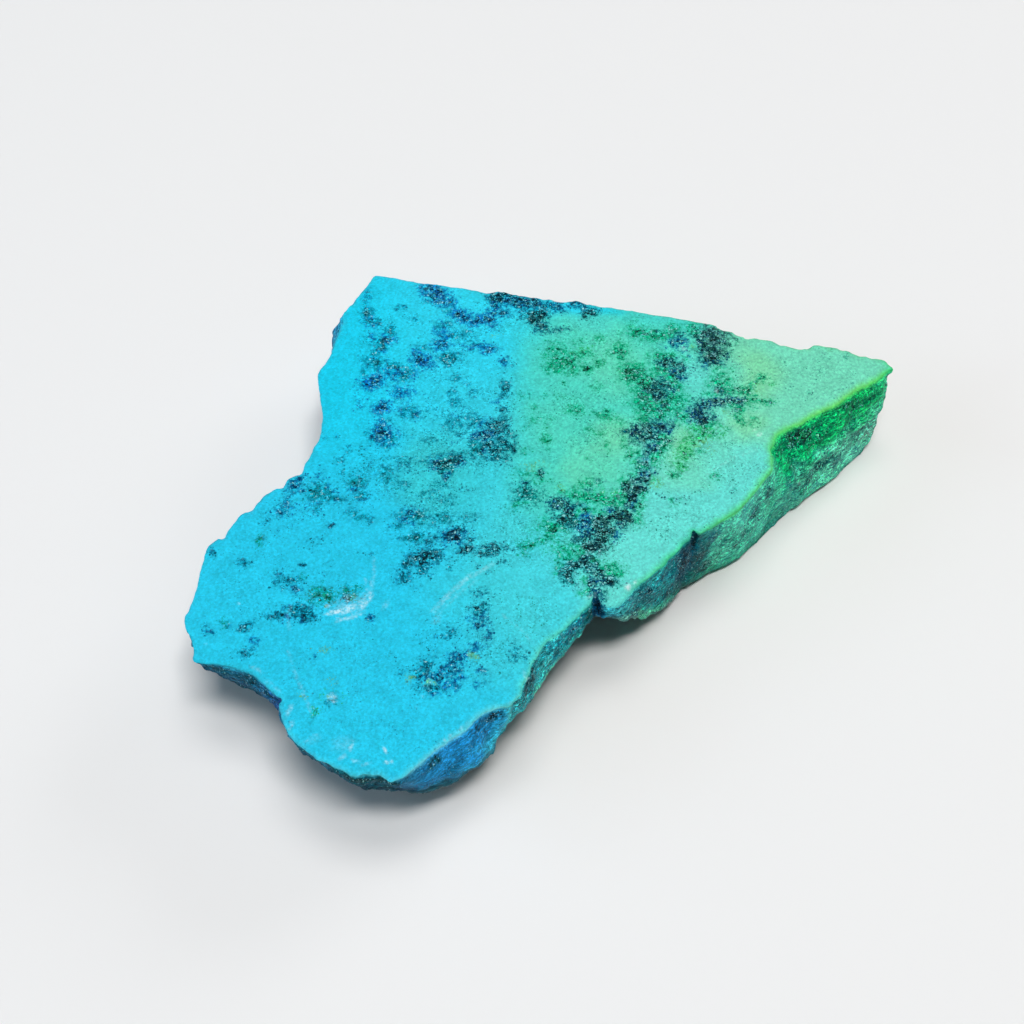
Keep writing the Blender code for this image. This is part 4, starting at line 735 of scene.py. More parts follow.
GREEN = [
    (0.1, 23.3, 0.8, 0.5, 0.55), (0.4, 22.6, 0.5, 0.5, 0.42), (1.3, 21.4, 0.8, 0.6, 0.70),
    (2.0, 20.6, 0.5, 0.5, 0.62), (-0.5, 20.6, 0.4, 0.5, 0.52), (-0.5, 19.8, 0.4, 0.3, 0.48),
    (2.0, 19.6, 0.4, 0.3, 0.62), (3.0, 22.8, 0.6, 0.4, 0.52), (3.6, 20.4, 0.45, 0.3, 0.90),
    (2.9, 20.6, 0.3, 0.3, 0.50), (5.0, 21.4, 0.5, 0.5, 0.68), (-1.5, 22.2, 0.4, 0.3, 0.25),
    (3.6, 23.4, 0.4, 0.4, 0.35), (1.0, 18.3, 0.3, 0.3, 0.52), (4.4, 17.6, 0.5, 0.4, 0.38),
    (2.2, 14.3, 0.5, 0.4, 0.62), (2.4, 13.8, 0.4, 0.3, 0.70), (1.6, 14.7, 0.3, 0.3, 0.42),
    (-2.9, 15.0, 0.3, 0.5, 0.26), (-3.9, 16.4, 0.4, 0.3, 0.38), (-0.9, 16.2, 1.4, 0.3, 0.26),
    (5.4, 13.5, 0.7, 0.4, 0.50), (4.5, 13.3, 0.4, 0.4, 0.38), (3.5, 11.4, 0.5, 0.4, 0.38),
    (4.6, 10.6, 0.5, 0.3, 0.45), (5.7, 9.0, 0.3, 0.5, 0.45), (-2.6, 12.3, 0.8, 0.5, 0.32),
    (-1.2, 12.0, 0.3, 0.4, 0.30), (-1.2, 9.9, 0.4, 0.4, 0.62), (-3.6, 11.5, 0.4, 0.3, 0.45),
    (-3.7, 8.1, 0.4, 0.4, 0.40), (-0.9, 8.8, 0.3, 0.4, 0.32), (-3.7, 4.8, 0.7, 0.5, 0.42),
    (-2.4, 3.6, 0.6, 0.4, 0.32), (-0.9, 3.8, 0.4, 0.4, 0.30), (-3.6, 1.0, 0.8, 0.5, 0.45),
    (-4.6, 0.5, 0.5, 0.5, 0.50), (-4.9, 2.6, 0.3, 0.5, 0.32), (3.4, 7.0, 0.3, 0.3, 0.32),
    (2.3, 1.7, 0.9, 0.5, 0.50), (2.0, 2.6, 0.7, 0.5, 0.32), (3.1, 1.2, 0.6, 0.5, 0.45),
    (4.2, 2.3, 0.6, 0.6, 0.38), (5.1, 2.0, 0.5, 0.5, 0.45), (4.2, 1.0, 0.6, 0.4, 0.42),
    (6.3, 0.9, 0.9, 0.5, 0.55), (7.0, 1.8, 0.7, 0.6, 0.52), (5.8, 0.5, 0.5, 0.4, 0.52),
    (8.5, -1.0, 0.35, 0.7, 0.55), (8.6, -2.0, 0.4, 0.4, 0.40), (9.2, 0.8, 0.4, 0.5, 0.52),
    (8.4, 4.7, 0.5, 0.5, 0.45), (7.4, 3.5, 0.5, 0.7, 0.45), (6.8, 2.8, 0.4, 0.4, 0.36),
    (7.3, 0.9, 0.5, 0.5, 0.60), (8.6, 6.3, 0.4, 0.5, 0.45), (10.6, 5.5, 0.3, 0.5, 0.42),
    (8.0, 7.6, 0.35, 0.5, 0.80), (7.6, 8.7, 0.5, 0.4, 0.45), (7.5, 9.8, 0.4, 0.3, 0.38),
    (6.1, 13.2, 0.25, 0.4, 0.52), (7.3, 12.3, 0.4, 0.3, 0.30), (12.9, 4.6, 0.45, 0.35, 0.70),
    (12.3, 5.1, 0.3, 0.3, 0.45), (17.2, 4.5, 0.35, 0.3, 0.85), (13.4, 6.1, 0.8, 0.5, 0.38),
    (14.4, 7.6, 0.5, 0.6, 0.48), (15.8, 8.3, 0.5, 0.5, 0.45), (16.9, 11.2, 0.5, 0.6, 0.58),
    (16.0, 11.0, 0.5, 0.5, 0.50), (17.4, 10.6, 0.4, 0.5, 0.55), (16.4, 11.9, 0.5, 0.3, 0.60),
    (9.5, 26.4, 0.7, 0.4, 0.45), (8.6, 26.0, 0.4, 0.3, 0.28), (11.6, 25.2, 0.8, 0.3, 0.38),
    (7.5, 23.1, 0.4, 0.9, 0.55), (7.2, 24.2, 0.4, 0.3, 0.45), (5.4, 25.0, 0.4, 0.4, 0.35),
    (8.6, 19.9, 0.8, 0.8, 0.65), (8.0, 18.9, 0.4, 0.3, 0.62), (9.1, 19.0, 0.6, 0.5, 0.60),
    (9.4, 20.5, 0.5, 0.4, 0.50), (8.5, 18.2, 0.4, 0.3, 0.35), (13.0, 22.4, 0.9, 0.4, 0.62),
    (11.5, 22.3, 0.8, 0.4, 0.45), (12.2, 20.9, 0.5, 0.3, 0.55), (14.2, 15.1, 0.5, 0.4, 0.55),
    (9.3, 15.0, 0.3, 0.4, 0.30), (19.0, 19.3, 0.5, 0.6, 0.52), (19.6, 18.8, 0.4, 0.3, 0.48),
    (20.6, 17.2, 0.6, 0.4, 0.66), (21.7, 16.9, 0.4, 0.4, 0.78), (21.8, 15.3, 0.6, 0.25, 0.70),
    (20.6, 12.9, 0.4, 0.5, 0.60), (21.0, 12.3, 0.4, 0.4, 0.62), (22.2, 12.6, 0.4, 0.3, 0.48),
    (23.0, 11.8, 0.3, 0.3, 0.35), (20.2, 20.5, 0.3, 0.4, 0.42), (24.2, 15.3, 0.5, 0.3, 0.55),
    (23.2, 15.6, 0.5, 0.2, 0.45), (18.8, 20.9, 0.3, 0.5, 0.35), (19.9, 26.4, 0.4, 0.3, 0.40),
    (1.0, -6.4, 0.9, 0.6, 0.50), (1.7, -5.9, 0.7, 0.4, 0.46), (0.2, -4.2, 0.8, 0.4, 0.32),
    (0.1, -6.9, 0.4, 0.4, 0.42), (-0.9, -4.5, 0.5, 0.4, 0.40), (-2.0, -4.6, 0.6, 0.25, 0.60),
    (-3.0, -4.9, 0.6, 0.25, 0.66), (-3.8, -5.3, 0.4, 0.3, 0.55), (-3.6, -6.0, 0.3, 0.4, 0.42),
    (5.2, -8.6, 0.8, 0.5, 0.65), (6.2, -8.9, 0.4, 0.5, 0.60), (-0.3, -2.6, 0.7, 0.5, 0.62),
    (-1.0, -3.6, 0.4, 0.5, 0.55), (-9.4, -21.3, 0.3, 0.3, 0.20), (-32.0, -4.4, 0.3, 0.5, 0.48),
    (-29.2, 9.9, 0.3, 0.3, 0.10), (-25.2, -10.8, 0.4, 0.5, 0.50), (-24.7, -11.7, 0.9, 0.5, 0.66),
    (-25.8, -12.3, 0.5, 0.3, 0.42), (-23.6, -11.6, 0.4, 0.3, 0.42), (-26.9, -9.2, 0.4, 0.3, 0.45),
    (-28.0, -9.5, 0.6, 0.3, 0.30), (-34.7, -15.1, 0.4, 0.4, 0.42), (-22.4, -11.0, 0.3, 0.6, 0.60),
    (-21.4, -10.6, 0.5, 0.4, 0.42), (32.0, 23.6, 0.5, 0.2, 0.30), (25.4, 13.8, 0.3, 0.3, 0.18),
    (5.3, 5.4, 0.5, 0.4, 0.22), (16.6, 2.9, 0.4, 0.3, 0.15),
]
LIME_GRAIN = [
    (-13.2, -22.4, 0.7, 0.3, 0.55), (-15.4, -21.8, 0.3, 0.3, 0.50), (-9.1, -18.9, 0.4, 0.3, 0.62),
    (-24.3, -18.3, 0.5, 0.3, 0.34), (-26.0, -24.0, 0.3, 0.3, 0.3), (-22.9, -22.2, 0.4, 0.4, 0.3),
    (0.3, 3.0, 0.5, 0.4, 0.58), (-2.6, 5.7, 0.7, 0.6, 0.40), (-3.6, 4.2, 0.4, 0.3, 0.30),
    (10.6, 3.7, 0.5, 0.6, 0.46), (16.2, 9.6, 0.6, 0.5, 0.55), (15.5, 9.0, 0.5, 0.4, 0.50),
    (16.8, 8.4, 0.4, 0.4, 0.30), (23.6, 19.0, 0.3, 0.5, 0.50), (22.8, 18.1, 0.5, 0.15, 0.50),
    (23.0, 16.6, 0.7, 0.6, 0.22), (19.2, 14.0, 0.6, 0.6, 0.18), (16.0, 23.9, 0.4, 0.4, 0.42),
    (13.6, 26.9, 0.5, 0.3, 0.20), (32.0, 23.5, 0.5, 0.15, 0.35), (22.2, 13.0, 0.4, 0.4, 0.22),
    (-12.6, -23.2, 0.4, 0.2, 0.40), (-10.6, -20.2, 0.3, 0.3, 0.40), (-6.9, 25.7, 0.5, 0.2, 0.2),
    (8.0, 5.4, 0.5, 0.3, 0.20), (1.4, 20.9, 0.2, 0.2, 0.3), (12.9, 7.9, 0.5, 0.4, 0.22),
]
OLIVE = [
    (-21.9, -11.7, 0.6, 0.4, 0.70),
    (-25.4, -11.6, 0.6, 0.4, 0.62), (-24.6, -10.9, 0.5, 0.4, 0.46), (-31.8, -3.9, 0.3, 0.3, 0.5),
    (-22.6, -11.3, 0.4, 0.3, 0.55), (-23.8, -12.2, 0.4, 0.3, 0.45), (-1.8, -4.8, 0.5, 0.2, 0.45),
    (-3.2, -5.1, 0.5, 0.2, 0.45), (-0.6, -4.0, 0.4, 0.3, 0.42),
]
# palette of the marks, display colours
# soft green patches around the dark ones in the green half
MOSS = [
    (0.3, 23.2, 1.0, 0.8, 0.60), (-0.8, 22.4, 0.5, 0.4, 0.38), (2.6, 24.5, 0.5, 0.5, 0.34),
    (3.3, 22.8, 0.8, 0.5, 0.52), (1.2, 21.4, 1.2, 0.9, 0.68), (2.2, 20.6, 0.6, 0.6, 0.52),
    (-0.2, 20.6, 0.9, 0.7, 0.52), (-0.5, 19.7, 0.5, 0.3, 0.36), (3.7, 20.4, 0.4, 0.4, 0.85),
    (5.0, 21.5, 0.5, 0.4, 0.66), (7.4, 23.3, 0.7, 0.6, 0.80), (7.6, 22.3, 0.35, 0.5, 0.70),
    (8.3, 23.0, 0.3, 0.4, 0.40), (5.5, 25.0, 0.5, 0.4, 0.42), (9.0, 27.6, 0.5, 0.6, 0.36),
    (9.6, 26.2, 0.8, 0.6, 0.70), (10.9, 25.8, 0.9, 0.6, 0.76), (11.8, 25.4, 0.5, 0.5, 0.70),
    (12.7, 25.7, 1.1, 0.6, 0.72), (13.9, 26.6, 0.6, 0.6, 0.66), (8.2, 20.6, 0.6, 0.5, 0.62),
    (8.9, 19.8, 1.0, 1.0, 0.82), (8.3, 19.0, 0.7, 0.7, 0.70), (9.8, 19.6, 0.7, 0.8, 0.72),
    (8.0, 18.4, 0.4, 0.3, 0.50), (2.3, 14.2, 0.5, 0.5, 0.76), (1.5, 13.9, 0.4, 0.3, 0.42),
    (5.6, 13.5, 0.5, 0.4, 0.74), (4.6, 13.8, 0.4, 0.3, 0.42), (4.8, 17.7, 0.4, 0.4, 0.42),
    (-2.8, 14.6, 0.5, 0.4, 0.38), (-3.4, 16.4, 0.4, 0.4, 0.32), (0.9, 18.3, 0.3, 0.2, 0.42),
    (-2.0, 12.9, 0.8, 0.4, 0.42), (-1.0, 12.7, 0.4, 0.3, 0.42), (7.0, 12.6, 0.7, 0.5, 0.36),
    (10.4, 18.4, 1.1, 0.9, 0.82), (10.0, 16.0, 0.9, 1.0, 0.78), (11.0, 15.2, 1.2, 1.0, 0.80),
    (10.4, 13.8, 0.9, 0.7, 0.72), (11.6, 13.4, 0.7, 0.6, 0.74), (9.8, 14.6, 0.5, 0.6, 0.70),
    (10.1, 12.4, 0.5, 0.4, 0.70), (12.0, 20.4, 0.9, 0.6, 0.62), (11.4, 21.2, 0.6, 0.3, 0.44),
    (12.5, 19.8, 0.8, 0.6, 0.70), (12.2, 22.4, 0.8, 0.5, 0.66), (13.2, 18.6, 0.6, 0.9, 0.80),
    (13.0, 16.2, 0.9, 0.6, 0.72), (14.0, 15.6, 0.9, 0.5, 0.58), (12.2, 15.4, 1.1, 0.7, 0.80),
    (12.6, 14.6, 0.9, 0.6, 0.72), (13.9, 17.4, 0.5, 0.5, 0.66), (16.3, 26.6, 0.6, 0.9, 0.66),
    (15.2, 22.0, 0.4, 0.5, 0.50), (18.6, 20.6, 0.4, 0.4, 0.56), (18.9, 19.4, 0.6, 0.6, 0.62),
    (18.5, 18.4, 0.7, 0.6, 0.74), (19.4, 18.4, 0.5, 0.4, 0.62), (19.5, 17.3, 0.5, 0.5, 0.70),
    (20.0, 16.9, 0.5, 0.3, 0.62), (20.8, 17.2, 0.6, 0.4, 0.82), (21.8, 16.9, 0.5, 0.4, 0.82),
    (21.3, 17.6, 0.4, 0.3, 0.52), (22.3, 17.8, 0.3, 0.4, 0.60), (22.8, 18.4, 0.3, 0.4, 0.56),
    (23.5, 19.1, 0.4, 0.4, 0.74), (24.2, 18.8, 0.4, 0.2, 0.42), (22.6, 16.2, 0.4, 0.3, 0.50),
    (22.4, 15.5, 1.0, 0.3, 0.72), (23.4, 15.6, 0.4, 0.2, 0.60), (24.3, 15.3, 0.5, 0.3, 0.72),
    (20.0, 14.9, 0.5, 0.4, 0.74), (20.7, 14.3, 0.5, 0.5, 0.74), (20.5, 13.6, 0.4, 0.4, 0.62),
    (20.6, 12.8, 0.4, 0.5, 0.70), (21.0, 12.3, 0.5, 0.3, 0.60), (22.2, 13.0, 0.3, 0.3, 0.42),
    (22.0, 11.8, 0.3, 0.3, 0.36), (22.3, 14.6, 0.3, 0.3, 0.50), (19.2, 11.2, 0.3, 0.2, 0.36),
    (18.0, 16.5, 0.7, 0.3, 0.58), (14.4, 13.2, 0.7, 0.4, 0.64), (14.0, 12.5, 0.5, 0.4, 0.50),
    (17.0, 12.0, 0.7, 0.5, 0.70), (12.8, 4.8, 0.5, 0.3, 0.60),
    (13.6, 5.6, 0.4, 0.4, 0.50), (12.4, 1.2, 0.3, 0.3, 0.42), (12.8, 0.5, 0.4, 0.2, 0.42),
    (13.5, 1.3, 0.3, 0.3, 0.36), (11.8, 9.8, 0.6, 0.8, 0.78), (11.4, 8.8, 0.7, 0.8, 0.70),
    (10.8, 7.4, 0.6, 0.8, 0.70), (9.2, 7.8, 0.4, 0.6, 0.50), (9.4, 12.6, 0.4, 0.3, 0.60),
    (0.3, 2.7, 0.5, 0.5, 0.46), (1.8, 2.0, 1.3, 0.6, 0.56), (3.0, 1.7, 0.9, 0.6, 0.70),
    (4.4, 1.5, 1.0, 0.6, 0.74), (3.2, 3.2, 0.8, 0.5, 0.52), (3.6, 4.0, 0.5, 0.3, 0.42),
    (4.3, 3.2, 0.5, 0.4, 0.46), (5.0, 0.9, 0.7, 0.5, 0.62), (5.9, 1.2, 0.8, 0.6, 0.70),
    (7.0, 1.6, 0.9, 0.7, 0.74), (7.2, 2.4, 0.5, 0.5, 0.70), (6.6, 0.6, 0.6, 0.4, 0.62),
    (8.0, 3.6, 0.8, 0.5, 0.78), (9.4, 2.5, 0.4, 0.5, 0.70), (9.0, 1.6, 0.5, 0.5, 0.62),
    (8.8, 0.6, 0.4, 0.5, 0.60), (8.3, -1.4, 0.4, 0.7, 0.56), (9.2, 5.9, 0.7, 0.5, 0.70),
    (8.6, 6.2, 0.4, 0.4, 0.52), (3.0, -0.4, 1.2, 0.4, 0.60),
    (2.0, -1.4, 0.4, 1.0, 0.60), (4.4, -0.6, 0.7, 0.3, 0.52), (-0.6, -2.6, 1.0, 0.6, 0.78),
    (-0.8, -3.4, 0.5, 0.4, 0.70), (0.4, -2.6, 0.6, 0.5, 0.70), (-1.3, -1.6, 0.3, 0.8, 0.48),
    (-1.6, -4.2, 0.6, 0.3, 0.50), (-2.8, -4.7, 0.8, 0.25, 0.50), (-3.9, -4.8, 0.5, 0.25, 0.50),
    (-3.6, -5.6, 0.4, 0.6, 0.40), (-4.6, -4.9, 0.5, 0.2, 0.36), (1.2, -5.4, 1.6, 0.5, 0.55),
    (0.4, -6.2, 0.8, 0.6, 0.55), (1.4, -6.6, 1.1, 0.5, 0.60), (2.4, -5.8, 0.5, 0.6, 0.62),
    (3.4, -7.0, 0.4, 0.3, 0.78), (4.4, -7.6, 0.6, 0.3, 0.56), (5.2, -8.2, 0.8, 0.6, 0.66),
    (6.2, -8.4, 0.5, 0.6, 0.62), (6.6, -9.0, 0.3, 0.4, 0.42), (5.0, -8.8, 0.7, 0.4, 0.70),
    (0.2, -7.6, 0.6, 0.4, 0.55), (-0.2, -8.5, 0.5, 0.5, 0.46), (2.8, -9.8, 0.4, 0.8, 0.42),
    (3.0, -10.8, 0.5, 0.5, 0.50), (2.4, -11.4, 0.5, 0.3, 0.42), (-2.0, 4.8, 0.6, 0.3, 0.56),
    (-1.7, 4.0, 0.4, 0.3, 0.50), (-3.9, 3.6, 0.3, 0.8, 0.50),
]
# and soft bluish green ones in the blue half
WEED = [
    (-23.0, -24.4, 0.5, 0.45, 0.55),
    (-22.2, 32.6, 0.4, 0.6, 0.50), (-22.4, 31.5, 0.3, 0.5, 0.42), (-22.4, 30.5, 0.3, 0.5, 0.60),
    (-22.0, 29.4, 0.5, 0.6, 0.74), (-21.5, 27.9, 0.7, 0.4, 0.74), (-20.6, 27.6, 0.5, 0.2, 0.50),
    (-19.2, 26.6, 0.35, 0.8, 0.68), (-20.4, 24.8, 0.5, 0.5, 0.66), (-20.2, 23.9, 0.6, 0.6, 0.74),
    (-20.6, 23.1, 0.5, 0.5, 0.60), (-21.4, 25.4, 0.7, 0.7, 0.40), (-20.9, 21.4, 0.7, 0.7, 0.74),
    (-21.6, 22.0, 0.5, 0.3, 0.50), (-20.0, 21.8, 0.5, 0.3, 0.42), (-21.9, 20.0, 0.3, 0.6, 0.66),
    (-18.6, 20.8, 0.8, 0.5, 0.66), (-17.6, 19.2, 0.5, 0.5, 0.60), (-16.8, 20.0, 0.5, 0.8, 0.64),
    (-16.4, 20.8, 0.3, 0.3, 0.42), (-22.0, 17.9, 0.5, 0.3, 0.50), (-15.4, 23.6, 0.8, 0.4, 0.60),
    (-13.6, 27.2, 0.5, 0.5, 0.52), (-12.4, 27.6, 0.5, 0.6, 0.50), (-12.0, 25.6, 0.6, 0.5, 0.60),
    (-12.2, 22.2, 0.8, 0.8, 0.68), (-12.4, 21.4, 0.5, 0.4, 0.62), (-11.2, 22.8, 0.5, 0.3, 0.46),
    (-10.4, 25.9, 0.9, 0.5, 0.50), (-9.6, 24.0, 0.6, 0.5, 0.60), (-18.4, 30.1, 0.5, 0.3, 0.66),
    (-16.4, 28.2, 0.7, 0.4, 0.36), (-17.8, 15.8, 0.5, 0.3, 0.46), (-16.6, 14.2, 0.8, 0.3, 0.50),
    (-15.8, 13.4, 0.5, 0.4, 0.70), (-17.2, 13.4, 0.3, 0.4, 0.50), (-14.2, 14.2, 0.3, 0.3, 0.42),
    (-11.4, 15.4, 0.6, 0.6, 0.52), (-11.8, 16.8, 0.4, 0.5, 0.50), (-11.4, 18.9, 0.7, 0.5, 0.44),
    (-10.0, 18.0, 0.4, 0.4, 0.38), (-9.4, 16.6, 0.5, 0.5, 0.42), (-15.0, 31.0, 0.5, 0.5, 0.40),
    (-12.6, 29.8, 0.5, 0.4, 0.50), (-19.2, 12.6, 0.6, 0.3, 0.50), (-20.6, 9.6, 0.4, 0.3, 0.62),
    (-21.4, 10.6, 0.3, 0.4, 0.50), (-18.8, 8.9, 0.5, 0.5, 0.44), (-18.2, 10.0, 0.5, 0.7, 0.64),
    (-12.6, 6.6, 1.3, 0.7, 0.74), (-13.4, 6.2, 0.5, 0.4, 0.60), (-12.2, 5.6, 0.8, 0.6, 0.68),
    (-12.2, 4.8, 0.5, 0.5, 0.60), (-10.4, 7.8, 0.8, 0.3, 0.50), (-13.0, 7.6, 0.6, 0.3, 0.46),
    (-11.4, 12.0, 1.3, 0.9, 0.44), (-10.4, 13.2, 0.8, 0.5, 0.42), (-17.0, 6.8, 1.4, 0.5, 0.38),
    (-18.8, 5.0, 0.8, 0.8, 0.48), (-18.4, 4.0, 0.5, 0.4, 0.48), (-16.8, 3.2, 0.8, 0.6, 0.40),
    (-22.0, 3.6, 0.6, 0.8, 0.72), (-21.4, 1.6, 0.5, 0.4, 0.60), (-23.2, 7.9, 0.3, 0.3, 0.50),
    (-24.2, 6.6, 0.5, 0.3, 0.42), (-23.6, 5.0, 0.3, 0.3, 0.50), (-21.8, 8.4, 0.5, 0.6, 0.36),
    (-26.2, 2.4, 1.2, 0.8, 0.60), (-26.6, 1.5, 0.6, 0.4, 0.56), (-24.6, 1.3, 1.0, 0.4, 0.60),
    (-25.6, 3.4, 0.5, 0.4, 0.42), (-26.2, 0.0, 0.3, 0.5, 0.58), (-22.2, -0.6, 0.6, 0.3, 0.50),
    (-21.8, -1.3, 0.7, 0.3, 0.50), (-20.6, -1.2, 0.5, 0.5, 0.50), (-20.2, -1.8, 0.4, 0.3, 0.42),
    (-15.6, -1.1, 1.1, 0.6, 0.72), (-15.0, -0.6, 0.5, 0.4, 0.60), (-16.6, -1.4, 0.7, 0.4, 0.50),
    (-16.8, -2.2, 0.6, 0.4, 0.42), (-17.4, -2.6, 0.6, 0.3, 0.50), (-12.8, -1.4, 1.4, 0.8, 0.46),
    (-15.4, -4.0, 0.9, 0.4, 0.68), (-14.4, -4.4, 0.5, 0.3, 0.52), (-14.0, 2.0, 1.2, 0.7, 0.40),
    (-12.0, 1.2, 0.9, 0.6, 0.40), (-13.0, 3.2, 0.8, 0.5, 0.44), (-9.6, -1.2, 0.9, 0.5, 0.40),
    (-8.8, 8.4, 0.7, 0.9, 0.72), (-9.2, 12.6, 0.6, 0.6, 0.60), (-3.4, 2.0, 1.1, 1.1, 0.66),
    (-4.4, 1.2, 0.6, 0.5, 0.50), (-16.6, 10.4, 0.9, 0.5, 0.34), (-14.2, 9.6, 0.9, 0.5, 0.36),
]
# light green stipple
LEAF = [
    (-23.05, -24.2, 0.7, 0.6, 0.30), (-24.8, -25.9, 0.3, 0.35, 0.60),
    (16.4, 11.2, 1.2, 0.9, 0.66), (15.8, 10.2, 0.8, 0.6, 0.56), (17.0, 10.4, 0.6, 0.5, 0.50),
    (15.0, 9.4, 0.8, 0.6, 0.54), (14.3, 8.2, 0.7, 0.7, 0.58), (13.8, 7.2, 0.7, 0.5, 0.50),
    (13.3, 6.2, 0.6, 0.5, 0.50), (13.6, 5.6, 0.4, 0.4, 0.52), (10.4, 4.2, 0.4, 0.5, 0.54),
    (8.6, 6.2, 0.4, 0.4, 0.54), (12.4, 21.0, 0.7, 0.4, 0.50), (7.6, 20.2, 0.5, 0.4, 0.50),
    (2.0, 22.4, 0.8, 0.5, 0.40), (3.4, 23.4, 0.7, 0.4, 0.40), (4.6, 2.2, 0.8, 0.4, 0.50),
    (6.4, 1.9, 0.6, 0.5, 0.55), (0.2, 3.0, 0.5, 0.4, 0.46), (1.0, -6.2, 0.8, 0.5, 0.46),
    (24.6, 18.0, 0.5, 0.3, 0.36), (14.8, 14.8, 0.6, 0.4, 0.42), (9.2, 27.0, 0.5, 0.4, 0.36),
]
# patches | display colour in the green half | in the blue half
INKS = [
    (NAVY, (4, 56, 96), (14, 94, 164)), (BLUE, (5, 76, 136), (14, 104, 170)),
    (TEAL, (3, 70, 86), (6, 90, 112)), (BLACK, (3, 42, 58), (12, 78, 108)),
    (BROWN, (36, 70, 80), (36, 70, 80)), (GREEN, (2, 146, 94), (8, 120, 110)),
    (LIME_GRAIN, (96, 178, 112), (96, 178, 112)), (OLIVE, (34, 118, 80), (34, 118, 80)),
    (MOSS, (4, 160, 112), (6, 134, 128)), (WEED, (4, 108, 108), (6, 122, 144)),
    (LEAF, (38, 172, 92), (38, 172, 92)),
]
# fields of fine loose speckle: x, y, half width, half height, amount
SPECKLE = [
    (-11, 12, 10, 13, 0.62), (-20, 4, 5, 5, 0.66), (-20, 20, 4, 12, 0.48), (-13, -3, 7, 7, 0.62),
    (-9, 27, 9, 5, 0.55), (3, 12, 8, 9, 0.55), (3, 24, 6, 6, 0.55), (-9, -18, 6, 6, 0.55),
    (3, -5, 5, 7, 0.66), (11, 14, 5, 10, 0.75), (18, 17, 6, 8, 0.62), (12, -1, 8, 6, 0.34),
    (-28, 0, 6, 5, 0.50), (-27, -12, 9, 5, 0.34), (29, 19, 8, 5, 0.40), (18, 6, 7, 6, 0.40),
    (-5, -4, 6, 5, 0.58), (-22, -22, 10, 8, 0.20), (13, 25, 5, 3, 0.8), (-3, -14, 5, 5, 0.42),
    (-32, -9, 6, 6, 0.22), (-15, -27, 8, 6, 0.16), (8, 27, 5, 3, 0.5),
]


def patch_field(x, y, rows, salt):
    """Strongest patch at each point, with ragged edges."""
    p = np.column_stack([x, y, np.full(len(x), 0.5)])
    wob = 0.38 * noise(p * 0.95, salt) + 0.32 * noise(p * 2.1, salt + 1) \
        + 0.18 * noise(p * 4.3, salt + 2)
    sx = 0.28 * noise(p * 1.2, salt + 3) + 0.14 * noise(p * 2.8, salt + 5)
    sy = 0.28 * noise(p * 1.2, salt + 4) + 0.14 * noise(p * 2.8, salt + 6)
    best = np.zeros(len(x))
    for bx, by, rx, ry, s in rows:
        near = (np.abs(x - bx) < rx * 3.4 + 0.6) & (np.abs(y - by) < ry * 3.4 + 0.6)
        if not near.any():
            continue
        q = np.hypot((x[near] + sx[near] - bx) / (rx * 1.28),
                     (y[near] + sy[near] - by) / (ry * 1.28)) + wob[near]
        core = s * smooth(1.40, 0.50, q)
        halo = 0.42 * s * smooth(2.2, 0.9, q) + 0.12 * s * smooth(3.3, 1.6, q)
        best[near] = np.maximum(best[near], np.maximum(core, halo))
    return best


def oval(x, y, cx, cy, rx, ry, turn=0.0, core=0.35, edge=1.0):
    """Soft ellipse, 1 inside core and 0 outside edge."""
    c, s = math.cos(math.radians(turn)), math.sin(math.radians(turn))
    u = ((x - cx) * c + (y - cy) * s) / rx
    w = (-(x - cx) * s + (y - cy) * c) / ry
    return smooth(edge, core, np.hypot(u, w))


# ------------------------------------------------------------- body colours
CYAN = (26, 200, 236)
SKY = (10, 208, 242)
BRIGHT = (36, 214, 242)
MIDDLE = (44, 206, 226)
TURQUOISE = (56, 210, 224)
LAGOON = (60, 211, 204)
AQUA = (92, 218, 210)
SEA = (70, 211, 192)
SAGE = (86, 213, 184)
MINT = (106, 216, 186)
LIME = (118, 214, 162)


